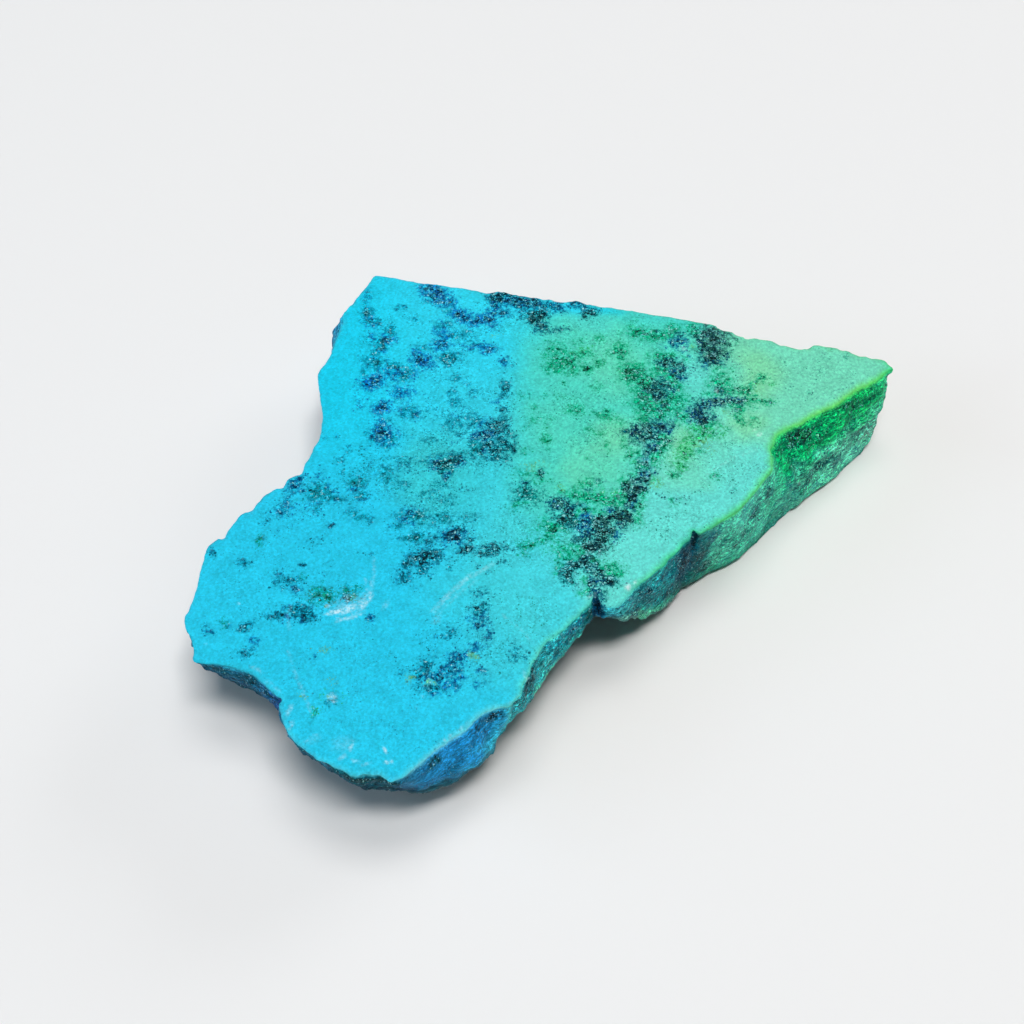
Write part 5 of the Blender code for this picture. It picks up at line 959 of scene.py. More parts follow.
def face_colour(x, y):
    """Display colour of the clean stone on the sawn face."""
    p = np.column_stack([x, y, np.full(len(x), 9.0)])
    wx = x + 1.6 * noise(p * 0.16, 70) + 0.7 * noise(p * 0.45, 71)
    wy = y + 1.6 * noise(p * 0.16, 72) + 0.7 * noise(p * 0.45, 73)
    c = np.tile(np.array(CYAN, float), (len(x), 1))

    def lay(colour, w):
        nonlocal c
        c = c + (np.array(colour, float) - c) * w[:, None]

    lay(SKY, 0.8 * oval(wx, wy, -24, 24, 12, 24, 0, 0.3))
    lay(BRIGHT, smooth(-26, -12, wx) * smooth(0, 16, wy) * 0.8)
    lay(MIDDLE, smooth(-18, -7, wx) * smooth(24, 8, wy) * smooth(-26, -8, wy))
    lay(TURQUOISE, smooth(-12, -1, wx - 0.10 * wy) * smooth(6, -2, wy) * smooth(-30, -16, wy))
    lay(BRIGHT, 0.85 * oval(wx, wy, -6, 31, 10, 5, -12, 0.3))
    # the step from blue to green: sharp in the middle, soft at both ends
    line = np.interp(y, [-30, -22, -12, -4, 3, 15, 24, 28, 31],
                     [4.0, 3.0, 0.5, -3.4, -4.4, -4.0, -2.6, 1.2, 6.5])
    width = np.interp(y, [-30, -10, 0, 6, 22, 30], [6.0, 6.0, 4.4, 4.2, 5.0, 4.0])
    frayed = x + 0.9 * noise(p * 0.5, 74) + 0.8 * noise(p * 1.1, 75) + 0.4 * noise(p * 2.2, 76)
    step = smooth(-1, 1, (wx * 0.3 + frayed * 0.7 - line) / width)
    lay(LAGOON, step * smooth(-8, 2, wy))
    lay(SEA, smooth(-7, 3, wx) * smooth(-2, 4, wy) * smooth(30, 27, wy + 0.1 * wx))
    lay(AQUA, step * smooth(3, -5, wy - 0.25 * wx) * smooth(-3, 6, wx) * 0.95)
    lay(AQUA, smooth(2, 9, wx - 0.2 * wy) * smooth(9, 3, wy - 0.45 * wx) * 0.9)
    lay(SAGE, 0.9 * oval(wx, wy, 4, 6, 5, 5, 0, 0.3))
    lay(SAGE, 0.85 * oval(wx, wy, 7, 21, 7, 7, 0, 0.3))
    lay(AQUA, 0.75 * oval(wx, wy, 14, 0, 8, 5, 45))
    lay(MINT, 0.6 * oval(wx, wy, 14, 6, 5, 4, 45))
    lay(MINT, smooth(14, 22, wx) * smooth(4, 10, wy))
    lay(AQUA, 0.55 * oval(wx, wy, 21, 6.5, 4.5, 4, 45))
    lay(AQUA, 0.75 * oval(wx, wy, 16, 20, 2.6, 6, 0, 0.2))
    lay(LIME, 0.65 * oval(wx, wy, 23, 20, 3.8, 6.0, 0, 0.2))
    lay(LIME, 0.5 * oval(wx, wy, 7, 10, 4.0, 5, 0, 0.2))
    lay(LIME, 0.6 * oval(wx, wy, 14, 9.5, 3, 4, 0, 0.2))
    lay(LIME, 0.5 * oval(wx, wy, 22, 12.5, 3.0, 3, 0, 0.2))
    lay(SAGE, 0.5 * oval(wx, wy, 6, 1, 4, 5, 0, 0.2))
    lay(SKY, 0.5 * oval(wx, wy, 6.5, 30, 4, 1.6, -12, 0.2))
    lay((46, 202, 212), 0.75 * oval(wx, wy, -13, 5, 8, 10, 0, 0.2))
    lay((74, 212, 204), 0.60 * oval(wx, wy, 4, 27.5, 5, 2.5, -8, 0.2))
    return c


# ------------------------------------------------------------- wall colours
# rim place x, y | border under the rim, partly edge wear and partly a painted rim highlight | upper wall | lower wall
# | lip
# painted light: the wall colours are set lighter where the walls get less light than the face, the scoop's lower wall
# most, to make up for that light
WALL_INK = [
    (-21.4, 35.6, (55, 205, 225), (42, 172, 200), (38, 140, 155), (40, 130, 140)),
    (-5.0, 32.4, (60, 200, 215), (48, 165, 185), (40, 135, 150), (40, 125, 130)),
    (10.0, 29.6, (85, 205, 185), (62, 168, 150), (48, 135, 120), (45, 120, 110)),
    (25.0, 24.9, (110, 210, 160), (75, 170, 130), (55, 140, 110), (50, 120, 100)),
    (36.3, 22.5, (105, 210, 150), (75, 172, 122), (70, 150, 120), (60, 130, 110)),
    (38.9, 20.5, (50, 200, 112), (74, 225, 168), (121, 235, 202), (106, 207, 176)),
    (37.3, 19.3, (98, 224, 114), (46, 227, 143), (129, 246, 212), (109, 227, 188)),
    (35.0, 17.7, (112, 224, 112), (22, 225, 122), (123, 246, 208), (119, 239, 200)),
    (31.5, 15.0, (112, 224, 112), (18, 224, 126), (122, 248, 208), (114, 245, 197)),
    (28.0, 12.8, (108, 222, 112), (12, 214, 124), (101, 244, 198), (103, 229, 184)),
    (25.2, 11.0, (100, 220, 116), (12, 200, 120), (84, 203, 173), (88, 200, 167)),
    (24.1, 9.0, (92, 216, 122), (16, 204, 124), (85, 201, 170), (83, 191, 159)),
    (23.7, 6.0, (94, 218, 124), (90, 229, 187), (90, 224, 188), (74, 202, 161)),
    (21.3, 2.2, (90, 218, 124), (104, 237, 206), (96, 230, 196), (63, 195, 152)),
    (18.0, -1.3, (84, 216, 124), (99, 235, 201), (95, 224, 190), (62, 191, 150)),
    (15.6, -3.0, (74, 205, 140), (42, 134, 130), (40, 126, 119), (46, 150, 124)),
    (14.2, -3.8, (60, 190, 150), (17, 93, 106), (17, 91, 101), (40, 126, 110)),
    (12.0, -6.2, (69, 214, 143), (49, 188, 184), (48, 175, 172), (68, 194, 156)),
    (9.3, -9.2, (86, 220, 161), (54, 184, 181), (57, 184, 175), (112, 225, 179)),
    (7.0, -11.3, (96, 220, 204), (77, 197, 196), (55, 162, 162), (126, 204, 182)),
    (4.9, -12.6, (92, 216, 216), (66, 196, 206), (50, 160, 174), (112, 188, 182)),
    (3.9, -11.6, (60, 180, 190), (14, 88, 118), (12, 76, 96), (40, 120, 118)),
    (3.2, -12.4, (76, 204, 180), (24, 124, 126), (26, 116, 118), (54, 164, 138)),
    (1.25, -14.5, (94, 226, 200), (42, 189, 196), (46, 187, 178), (73, 207, 172)),
    (-1.9, -17.8, (100, 231, 204), (60, 213, 222), (69, 218, 209), (114, 233, 194)),
    (-3.6, -21.6, (102, 228, 204), (38, 157, 166), (57, 194, 192), (99, 227, 205)),
    (-4.8, -24.4, (114, 228, 212), (72, 220, 224), (81, 227, 227), (69, 193, 200)),
    (-6.5, -25.3, (131, 233, 231), (39, 166, 217), (76, 227, 245), (63, 176, 195)),
    (-9.0, -27.0, (128, 228, 238), (33, 150, 214), (54, 184, 225), (38, 112, 134)),
    (-12.5, -30.0, (128, 228, 240), (34, 145, 208), (39, 146, 193), (25, 82, 95)),
    (-15.4, -33.0, (120, 226, 240), (39, 123, 163), (22, 69, 93), (18, 60, 72)),
    (-17.0, -33.4, (96, 220, 236), (22, 92, 108), (17, 74, 85), (24, 83, 95)),
    (-20.5, -32.9, (90, 216, 232), (22, 96, 108), (15, 72, 84), (25, 87, 106)),
    (-24.3, -31.1, (84, 216, 236), (26, 112, 134), (22, 92, 112), (26, 92, 112)),
    (-27.8, -26.6, (84, 218, 238), (40, 140, 170), (30, 104, 130), (30, 96, 110)),
    (-28.4, -24.0, (64, 204, 224), (46, 110, 176), (40, 96, 156), (30, 88, 106)),
    (-31.5, -21.1, (50, 196, 220), (36, 112, 142), (28, 96, 116), (26, 90, 104)),
    (-37.3, -19.8, (48, 196, 222), (34, 110, 134), (28, 94, 112), (28, 88, 100)),
    (-38.8, -14.5, (44, 202, 230), (38, 168, 200), (32, 130, 156), (30, 110, 125)),
    (-34.5, -1.0, (44, 202, 230), (40, 170, 200), (34, 132, 156), (30, 112, 125)),
    (-27.5, 7.4, (44, 204, 232), (42, 172, 202), (34, 134, 156), (32, 112, 125)),
    (-27.3, 19.4, (40, 206, 234), (40, 172, 204), (34, 136, 158), (32, 114, 128)),
    (-24.7, 27.6, (46, 204, 230), (36, 150, 186), (34, 132, 156), (34, 116, 130)),
]
# colours of the underside, painted dark for the shade under the overhang
UNDER_SHADE_INK = (30, 88, 92)
UNDER_EARTH = (64, 84, 78)
# patches on the walls: rim place x, y | mm down | half length, half height |
# density | display colour
WALL_MARKS = [
    (33.4, 16.4, 1.4, 1.7, 0.6, 0.65, (7, 86, 64)), (27.0, 12.1, 1.8, 2.4, 1.0, 0.9, (6, 76, 69)),
    (34.5, 17.4, 2.2, 2.4, 0.6, 0.7, (9, 90, 69)), (25.3, 11.0, 1.4, 1.2, 1.0, 0.55, (4, 90, 72)),
    (29.0, 13.4, 3.1, 2.2, 0.5, 0.6, (7, 90, 67)), (33.4, 16.4, 4.2, 1.8, 0.8, 0.5, (12, 90, 84)), (28.4, 13.0, 7.8, 1.3, 0.8, 0.55, (10, 84, 86)),
    (29.5, 13.8, 7.2, 2.0, 0.9, 0.70, (12, 82, 92)), (31.6, 15.1, 8.6, 1.2, 0.8, 0.6, (13, 80, 99)),
    (27.6, 12.5, 8.4, 1.4, 0.8, 0.7, (13, 78, 88)), (34.4, 17.3, 6.8, 1.6, 1.0, 0.55, (16, 88, 88)),
    (36.0, 18.4, 4.4, 0.9, 1.4, 0.30, (24, 122, 104)), (36.8, 18.9, 8.4, 1.0, 0.6, 0.4, (90, 70, 80)),
    (26.0, 11.6, 6.0, 1.0, 0.8, 0.45, (13, 94, 84)), (24.6, 10.3, 3.0, 0.6, 1.0, 0.40, (6, 104, 74)),
    (22.8, 4.5, 3.0, 0.8, 1.0, 0.75, (12, 86, 99)), (21.9, 3.0, 4.6, 1.0, 1.2, 0.75, (12, 80, 99)),
    (20.6, 1.3, 7.0, 1.4, 1.0, 0.6, (14, 94, 92)), (24.0, 8.0, 2.6, 0.6, 0.8, 0.5, (11, 108, 79)),
    (23.6, 5.8, 6.0, 0.8, 1.0, 0.4, (19, 108, 88)), (17.2, -1.9, 2.6, 0.6, 0.9, 0.75, (14, 82, 114)),
    (18.6, -0.9, 5.0, 0.9, 1.2, 0.5, (19, 102, 99)), (16.4, -2.5, 4.6, 0.9, 1.4, 0.6, (15, 94, 99)),
    (14.4, -3.3, 2.0, 0.8, 1.4, 0.98, (6, 60, 84)), (14.0, -4.0, 4.6, 1.7, 2.2, 0.92, (4, 84, 108)),
    (12.8, -5.6, 6.8, 1.6, 1.6, 0.75, (8, 88, 100)), (15.8, -2.9, 5.0, 1.2, 1.4, 0.75, (14, 66, 70)),
    (13.4, -4.7, 3.0, 0.9, 1.2, 0.8, (8, 70, 96)), (16.7, -2.2, 8.6, 1.4, 1.0, 0.75, (8, 62, 66)),
    (16.6, -2.3, 5.8, 0.9, 1.0, 0.45, (14, 80, 96)), (15.4, -2.9, 7.0, 1.0, 1.0, 0.55, (8, 70, 84)),
    (12.4, -6.0, 3.4, 0.9, 1.0, 0.45, (14, 90, 114)), (7.8, -10.5, 4.8, 1.1, 1.0, 0.75, (14, 80, 98)),
    (11.0, -7.4, 2.2, 1.2, 0.8, 0.6, (15, 94, 120)), (10.6, -8.0, 5.0, 1.2, 1.2, 0.6, (16, 90, 106)),
    (9.0, -9.5, 2.0, 0.8, 0.9, 0.75, (14, 78, 102)), (8.4, -10.0, 3.6, 0.8, 0.8, 0.55, (16, 94, 109)),
    (3.75, -11.4, 1.6, 0.7, 1.3, 0.95, (6, 69, 104)), (3.2, -12.3, 2.0, 0.5, 0.9, 0.8, (8, 82, 79)),
    (1.6, -14.1, 1.6, 0.9, 0.5, 0.6, (14, 82, 123)), (0.6, -15.3, 2.6, 0.9, 0.6, 0.5, (16, 98, 114)),
    (-1.0, -16.6, 1.4, 0.7, 0.5, 0.5, (19, 94, 132)), (-2.2, -18.4, 1.8, 0.8, 0.7, 0.55, (16, 98, 97)),
    (-3.3, -21.0, 1.2, 1.1, 0.7, 0.95, (8, 65, 74)), (-3.8, -22.4, 1.8, 0.8, 0.7, 0.9, (8, 67, 76)),
    (-2.9, -19.6, 1.0, 0.6, 0.4, 0.6, (13, 86, 97)),
    (-6.9, -25.4, 1.1, 1.1, 0.6, 0.85, (10, 74, 92)), (-7.4, -25.6, 1.3, 0.9, 0.8, 0.7, (11, 82, 113)),
    (-8.6, -26.6, 1.2, 0.8, 0.8, 0.6, (12, 86, 114)), (-13.0, -30.5, 1.5, 0.6, 0.6, 0.75, (12, 90, 106)), (-10.2, -28.2, 2.6, 1.3, 0.6, 0.35, (16, 96, 130)), (-8.2, -26.3, 2.6, 0.8, 1.0, 0.45, (14, 88, 124)), (-12.0, -29.6, 3.6, 1.6, 0.5, 0.5, (16, 84, 112)),
    (-14.0, -31.4, 1.2, 0.9, 0.5, 0.35, (15, 94, 132)),
    (-19.0, -32.8, 1.4, 2.0, 0.35, 0.7, (7, 61, 63)), (-22.0, -32.0, 0.9, 1.6, 0.3, 0.6, (7, 61, 67)),
    (-17.0, -33.3, 0.9, 1.2, 0.3, 0.7, (6, 57, 58)), (-25.0, -30.4, 0.8, 1.2, 0.25, 0.5, (8, 69, 79)),
    (-31.6, -21.0, 1.0, 1.0, 0.5, 0.7, (8, 59, 70)), (-29.8, -22.7, 1.4, 0.8, 0.5, 0.7, (7, 59, 70)),
    (-34.5, -20.1, 0.9, 1.4, 0.4, 0.5, (10, 71, 81)),
]
# ========================================================== relief of the face
def face_relief(x, y, dark, edge):
    """Height over the sawn plane, in millimetres."""
    p = np.column_stack([x, y, np.full(len(x), 1.0)])
    z = 0.020 * fbm(p * 0.22, 2, 80) + 0.012 * noise(p * 1.1, 81) + 0.010 * noise(p * 2.6, 82)
    # grains stand a little proud of the sawn plane, with pits between them
    d, _, gap, rnd = cells(p * 2.2, 83)
    grain = (0.55 - d) * 0.16 + (rnd[:, 0] - 0.45) * 0.10
    z += dark * grain
    z -= dark * 0.05 * smooth(0.35, 0.0, gap)
    # saw marks, very faint and only in places
    z += 0.006 * np.sin((x * 0.55 + y * 0.83) * 3.1) * smooth(-0.2, 0.6, noise(p * 0.12, 84))
    # the edge is worn: it rolls off over the last fraction of a millimetre
    wear = 0.10 + 0.10 * smooth(-0.2, 0.9, noise(p * 0.35, 85)) + 0.06 * noise(p * 1.4, 86)
    z -= np.clip(wear, 0.03, 0.4) * np.exp(-(edge / 0.30) ** 1.3)
    return z


# chips bitten out of the rim: x, y | radius | depth of the bite below the face
CHIPS = [
    (-17.2, -33.3, 0.9, 0.45), (-18.6, -32.9, 0.7, 0.30), (-20.6, -33.0, 0.9, 0.35),
    (-22.4, -31.9, 0.7, 0.30), (-24.9, -30.6, 0.7, 0.25), (-26.4, -29.2, 0.6, 0.25),
    (-27.9, -27.0, 0.5, 0.22), (-28.2, -25.4, 0.6, 0.30), (-30.4, -22.1, 0.5, 0.2),
    (-5.4, -24.9, 0.6, 0.30), (-4.4, -23.4, 0.5, 0.25), (-9.6, -27.6, 0.5, 0.2),
    (-11.6, -29.2, 0.6, 0.25), (-3.4, -20.6, 0.5, 0.22), (-0.9, -16.6, 0.5, 0.2),
    (1.8, -14.0, 0.5, 0.22), (7.4, -10.9, 0.7, 0.35), (11.2, -7.2, 0.6, 0.25),
    (16.6, -2.4, 0.6, 0.22), (19.4, -0.2, 0.5, 0.2), (22.4, 3.9, 0.5, 0.2),
    (24.0, 8.9, 0.6, 0.35), (27.4, 12.4, 0.6, 0.25), (31.2, 14.9, 0.5, 0.2),
    (35.6, 18.1, 0.6, 0.25), (26.2, 24.6, 0.7, 0.3), (29.6, 23.8, 0.6, 0.3),
    (33.4, 23.6, 0.6, 0.25), (36.6, 22.4, 0.6, 0.25), (21.4, 26.1, 0.7, 0.3),
    (-25.0, 28.4, 0.7, 0.35), (-27.0, 16.8, 0.6, 0.2), (-26.5, 11.0, 0.6, 0.2),
    (-30.3, 3.2, 0.6, 0.3), (-33.6, -0.3, 0.7, 0.3), (-35.9, -3.8, 0.6, 0.3),
    (-38.7, -13.4, 0.6, 0.25), (-37.6, -18.6, 0.5, 0.2), (-23.9, 31.2, 0.6, 0.25),
    (-24.6, 26.2, 0.5, 0.2), (-28.3, 5.1, 0.5, 0.2), (-32.4, 1.2, 0.5, 0.2),
]
# pale places on the face: x, y | half width, half height, turn | amount; the thin rows along the facet, front, lobe
# and notch rims are painted highlights on the rim
PALE = [
    (-23.4, -13.7, 1.2, 0.32, 14, 0.95), (-21.8, -13.3, 0.9, 0.35, 25, 0.62),
    (-20.6, -12.7, 0.7, 0.40, 40, 0.60), (-19.8, -11.6, 0.25, 0.9, 0, 0.60),
    (-19.7, -10.2, 0.18, 1.2, 4, 0.22), (-22.0, -13.2, 1.5, 0.7, 24, 0.42),
    (-22.2, -14.5, 1.4, 0.18, 22, 0.45), (-21.2, -14.2, 1.2, 0.12, 30, 0.38),
    (-24.2, -12.9, 0.4, 0.3, 0, 0.35), (-22.0, -12.6, 2.4, 1.2, 20, 0.14),
    (-18.2, -12.8, 0.8, 0.3, 60, 0.14), (-12.8, -14.6, 0.8, 0.5, 60, 0.10),
    (22.6, 10.5, 0.45, 0.3, 30, 0.9), (22.2, 11.2, 0.45, 0.15, 40, 0.5),
    (7.1, -10.4, 0.50, 0.3, 30, 0.9), (7.8, -9.9, 0.4, 0.15, 40, 0.5),
    (-17.5, -30.1, 0.12, 0.7, 25, 0.75), (-17.2, -31.6, 0.22, 0.35, 30, 0.60), (-16.8, -31.5, 0.2, 0.3, 0, 0.5),
    (-20.8, -29.8, 0.18, 0.8, -10, 0.40), (-21.6, -31.0, 0.6, 0.2, 20, 0.26),
    (-20.4, -31.4, 0.5, 0.2, -20, 0.26), (-19.2, -31.8, 0.6, 0.15, 10, 0.26),
    (-21.6, -29.6, 1.6, 1.2, 0, 0.07), (-24.6, -29.0, 1.0, 0.6, 40, 0.06),
    (-25.4, -29.2, 0.3, 0.12, 40, 0.30), (-24.4, -28.4, 0.3, 0.10, 30, 0.25),
    (-27.2, -25.6, 0.2, 0.9, -20, 0.34), (-27.0, -27.4, 0.15, 0.7, -25, 0.40),
    (-23.1, -24.0, 0.6, 0.5, 0, 0.40), (-22.8, -24.6, 0.25, 0.2, 0, 0.6),
    (-13.9, -24.0, 0.2, 0.2, 0, 0.35), (-14.4, -25.2, 0.2, 0.2, 0, 0.25),
    (-11.3, -28.7, 1.3, 0.10, 42, 0.42), (-9.8, -27.4, 0.9, 0.10, 45, 0.34),
    (-5.6, -24.8, 0.8, 0.12, 15, 0.42), (-3.6, -21.6, 0.16, 0.9, 15, 0.30),
    (3.2, -11.6, 0.8, 0.12, 40, 0.4), (-31.0, -20.7, 1.0, 0.25, -35, 0.16),
    (-29.6, -22.2, 0.9, 0.2, -40, 0.12), (-28.6, -23.2, 0.7, 0.2, -40, 0.12),
    (14.8, 23.6, 0.5, 0.4, 0, 0.22), (18.3, 17.0, 0.3, 0.3, 0, 0.3),
    (-36.5, -17.6, 0.2, 0.15, 0, 0.3), (-33.4, -12.6, 0.15, 0.15, 0, 0.35),
]
# scratches: polyline | half width | amount
SCRATCHES = [
    ([(-27.9, -18.6), (-27.2, -20.6), (-26.1, -23.4), (-25.2, -25.2)], 0.06, 0.13),
    ([(-27.2, -20.8), (-26.2, -23.0), (-25.1, -25.8)], 0.05, 0.15),
    ([(-28.0, -12.8), (-28.2, -14.4), (-28.0, -15.8)], 0.10, 0.10),
    ([(-19.7, -6.6), (-19.5, -9.0), (-19.9, -11.4), (-21.4, -12.9)], 0.08, 0.17),
    ([(-20.4, -9.4), (-20.2, -11.0), (-21.0, -12.4)], 0.06, 0.18),
    ([(-13.2, -13.6), (-11.4, -11.2), (-9.3, -8.9)], 0.17, 0.20),
    ([(-9.4, -9.2), (-8.0, -8.2), (-7.0, -7.4)], 0.14, 0.18),
    ([(-12.6, -13.8), (-10.6, -11.4), (-8.8, -9.6)], 0.10, 0.10),
    ([(-23.9, -13.6), (-22.6, -13.9), (-21.4, -13.2), (-20.4, -12.0)], 0.10, 0.40),
    ([(-23.4, -14.6), (-21.8, -14.4), (-20.6, -13.4), (-19.9, -12.2)], 0.08, 0.34),
    ([(-6.0, -14.0), (-3.6, -16.4), (-2.4, -18.6)], 0.06, 0.10),
    ([(16.4, 4.8), (19.6, 7.2), (22.0, 8.2)], 0.06, 0.12),
]


def line_gap(x, y, pts):
    """Distance to a polyline."""
    best = np.full(len(x), 1e9)
    for (ax, ay), (bx, by) in zip(pts, pts[1:]):
        dx, dy = bx - ax, by - ay
        t = np.clip(((x - ax) * dx + (y - ay) * dy) / (dx * dx + dy * dy), 0, 1)
        best = np.minimum(best, np.hypot(x - ax - t * dx, y - ay - t * dy))
    return best


def chip_depth(p):
    """How far the chips take a point down."""
    out = np.zeros(len(p))
    for cx, cy, r, deep in CHIPS:
        d = np.hypot(p[:, 0] - cx, p[:, 1] - cy)
        near = d < r
        out[near] = np.maximum(out[near], deep * (1 - (d[near] / r) ** 2))
    return out


# --------------------------------------------------- values at every point
all_xy = np.vstack([rim2, inner])
edge_gap = np.concatenate([np.zeros(N), rim_gap])
X, Y = all_xy[:, 0], all_xy[:, 1]
pq = np.column_stack([X, Y, np.full(len(X), 0.7)])
ink = face_colour(X, Y)
green_half = smooth(-6.0, 6.0, X)[:, None]
ink = ink + (1 - green_half) * np.array([13.0, -3.0, -6.0]) + green_half * np.array([9.0, -1.0, -2.0])
dark = np.zeros(len(X))
mark = np.tile(np.array([24.0, 106.0, 112.0]), (len(X), 1))
blue_half = smooth(-2, -9, X + 0.5 * noise(pq * 0.3, 92)) * (0.35 + 0.65 * smooth(8, 14, Y))
for rows, colour, far in INKS:
    s = patch_field(X, Y, rows, 100)
    win = s > dark
    mark[win] = mix(np.array(colour, float), np.array(far, float), blue_half)[win]
    dark = np.maximum(dark, s)
# blue marks in the blue half, greener ones in the green half
speck = np.zeros(len(X))
for sx, sy, rx, ry, s in SPECKLE:
    speck = np.maximum(speck, s * oval(X, Y, sx, sy, rx, ry, 0, 0.2, 1.1))
speck *= np.clip(0.55 + 0.9 * noise(pq * 0.42, 90) + 0.35 * noise(pq * 1.1, 91), 0.0, 1.6)
blueness = smooth(-2, -14, X + 0.4 * noise(pq * 0.3, 92))
loose = mix(np.array([26.0, 128.0, 112.0]), np.array([20.0, 122.0, 160.0]), blueness)
mark = np.where((dark > 0.06)[:, None], mark, loose)
pale = np.zeros(len(X))
for px, py, rx, ry, turn, s in PALE:
    pale = np.maximum(pale, s * oval(X + 0.10 * noise(pq * 2.2, 93), Y + 0.10 * noise(pq * 2.2, 94),
                                     px, py, rx, ry, turn, 0.2, 1.15))
for pts, w, s in SCRATCHES:
    pale = np.maximum(pale, s * smooth(w * 2.4, w * 0.6, line_gap(X, Y, pts))
                      * np.clip(0.8 + 0.6 * noise(pq * 1.3, 95), 0.1, 1.2))
pale = np.clip(pale, 0, 1)

# the border along the rim, coloured by the wall table: partly edge wear, partly a painted highlight on the rim
wall_keys = [arc_at(r[0], r[1]) for r in WALL_INK]
inks = np.array([[c for part in r[2:] for c in part] for r in WALL_INK], float)
near_index = np.concatenate([np.arange(N), np.array([tree.find((p[0], p[1], 0.0))[1] for p in inner])])
rim_wear_and_highlight = around(wall_keys, inks[:, 0:3], arc, LENGTH)[near_index]
bw = 0.30 + 0.16 * noise(pq * 0.8, 96) + 0.10 * noise(pq * 2.4, 97)
green_side = smooth(2.0, 14.0, X) * smooth(24.0, 20.0, Y)
bw = np.clip(bw + 0.08 * green_side, 0.06, 0.9)
bt = np.exp(-(edge_gap / bw) ** 1.6) * (0.55 + 0.35 * green_side)
ink = ink + (rim_wear_and_highlight - ink) * bt[:, None]
dark = dark * (1 - 0.5 * np.exp(-(edge_gap / 0.35) ** 2) * smooth(20.0, 14.0, Y))

height = face_relief(X, Y, dark, edge_gap)
# the little lobe by the cleft bends down towards its edge
bend = oval(X, Y, 5.4, -12.9, 2.6, 2.6, 0, 0.0, 1.0)
height -= 0.55 * bend
# grains along the back edge stand up over it
crest = smooth(-8.5, -6.5, X) * smooth(6.5, 4.0, X) * smooth(1.3, 0.2, edge_gap) * smooth(27, 29, Y)
dd, _, _, rr = cells(pq * 1.5, 98)
height += crest * np.clip(0.42 - 0.5 * dd, 0, 1) * (0.3 + 0.7 * rr[:, 1]) * 0.9
height -= chip_depth(np.column_stack([X, Y, np.zeros(len(X))]))
height -= pale * (pale > 0.5) * 0.03
top_z = THICKNESS + height

# walls: the rim row takes the face's own values
wall[:, 0, 2] = top_z[:N]
for r in range(1, 6):
    fall = (THICKNESS - wall[:, r, 2])
    keep = smooth(1.4, 0.0, down[:, r])
    wall[:, r, 2] = np.minimum(wall[:, r, 2] + height[:N] * keep, wall[:, r - 1, 2] - 0.004)
W = wall.reshape(-1, 3)
cols = around(wall_keys, inks, arc, LENGTH)
c_rim_wear_and_highlight, c_up, c_low, c_lip = [np.repeat(cols[:, k:k + 3], COLUMN_ROWS, 0) for k in (0, 3, 6, 9)]
wobble = 0.14 * noise(W * 0.5, 110) + 0.08 * noise(W * 1.4, 111)
ff = f_flat + wobble * smooth(0.0, 0.4, f_flat)
w_ink = c_up + (c_low - c_up) * smooth(0.30, 0.75 - 0.23 * SCOOP, ff)[:, None]
w_ink = w_ink + (c_lip - w_ink) * smooth(0.82 - 0.14 * LOBE - 0.20 * FACET, 1.0 - 0.12 * LOBE - 0.16 * FACET, ff)[:, None]
# the same border on the walls just under the rim: partly edge wear, partly painted highlight
wb = 0.34 + 0.20 * noise(W * 0.9, 112) + 0.12 * noise(W * 2.6, 113)
wb = np.clip(wb + 0.15 * (SCOOP + RIGHT), 0.1, 1.0)
bt = np.exp(-(d_flat / wb) ** 2)
w_ink = w_ink + (c_rim_wear_and_highlight - w_ink) * (bt * 0.9)[:, None]
# painted shade: a dark blue band down the wall under the small nick and down the cleft by the lobe
for cx, cy, near, far_down, tone in ((14.0, -3.9, 1.9, 7.5, (8, 86, 104)), (3.75, -11.3, 1.8, 4.4, (12, 104, 160))):
    g = arc_gap(a_flat, arc_at(cx, cy)) / (near * (0.35 + 0.65 * smooth(0.0, 3.5, d_flat)))
    f = np.exp(-(g + 0.35 * noise(W * 0.8, 137)) ** 2) * smooth(far_down, far_down * 0.6, d_flat)
    w_ink = w_ink + (np.array(tone, float) - w_ink) * (0.8 * f * smooth(0.15, 0.5, d_flat))[:, None]
# streaks of lighter and darker stone that run with the walls
s1 = np.column_stack([a_flat * 0.20 + 0.3 * d_flat, d_flat * 1.3, np.full(len(W), 3.0)])
streak = noise(s1, 114) + 0.6 * noise(s1 * 2.2, 115)
light = np.array([60.0, 200.0, 120.0])
w_ink += (light - w_ink) * (SCOOP * smooth(0.25, 1.0, streak) * 0.55 * smooth(0.9, 0.6, ff))[:, None]
s2 = np.column_stack([a_flat * 0.35 - 0.9 * d_flat, d_flat * 3.0, np.full(len(W), 6.0)])
fibre = noise(s2, 116) + 0.5 * noise(s2 * 2.0, 117)
light = np.array([84.0, 190.0, 214.0])
w_ink += (light - w_ink) * (FACET * smooth(0.2, 0.9, fibre) * smooth(0.35, 0.75, ff) * 0.5)[:, None]
w_ink += (np.array([96.0, 196.0, 176.0]) - w_ink) * ((FRONT + 0.5 * RIGHT) * smooth(0.35, 1.0, fibre) * 0.35)[:, None]
s3 = np.column_stack([a_flat * 0.25, W[:, 2] * 3.2, np.full(len(W), 8.0)])
lamina = noise(s3, 118) + 0.5 * noise(s3 * 2.1, 119)
w_ink *= (1 + 0.22 * (BAND + NOTCH) * lamina)[:, None]
mott = noise(W * 0.8, 120) + 0.6 * noise(W * 2.0, 121)
w_ink *= (1 + 0.09 * mott * smooth(0.2, 0.8, d_flat))[:, None]
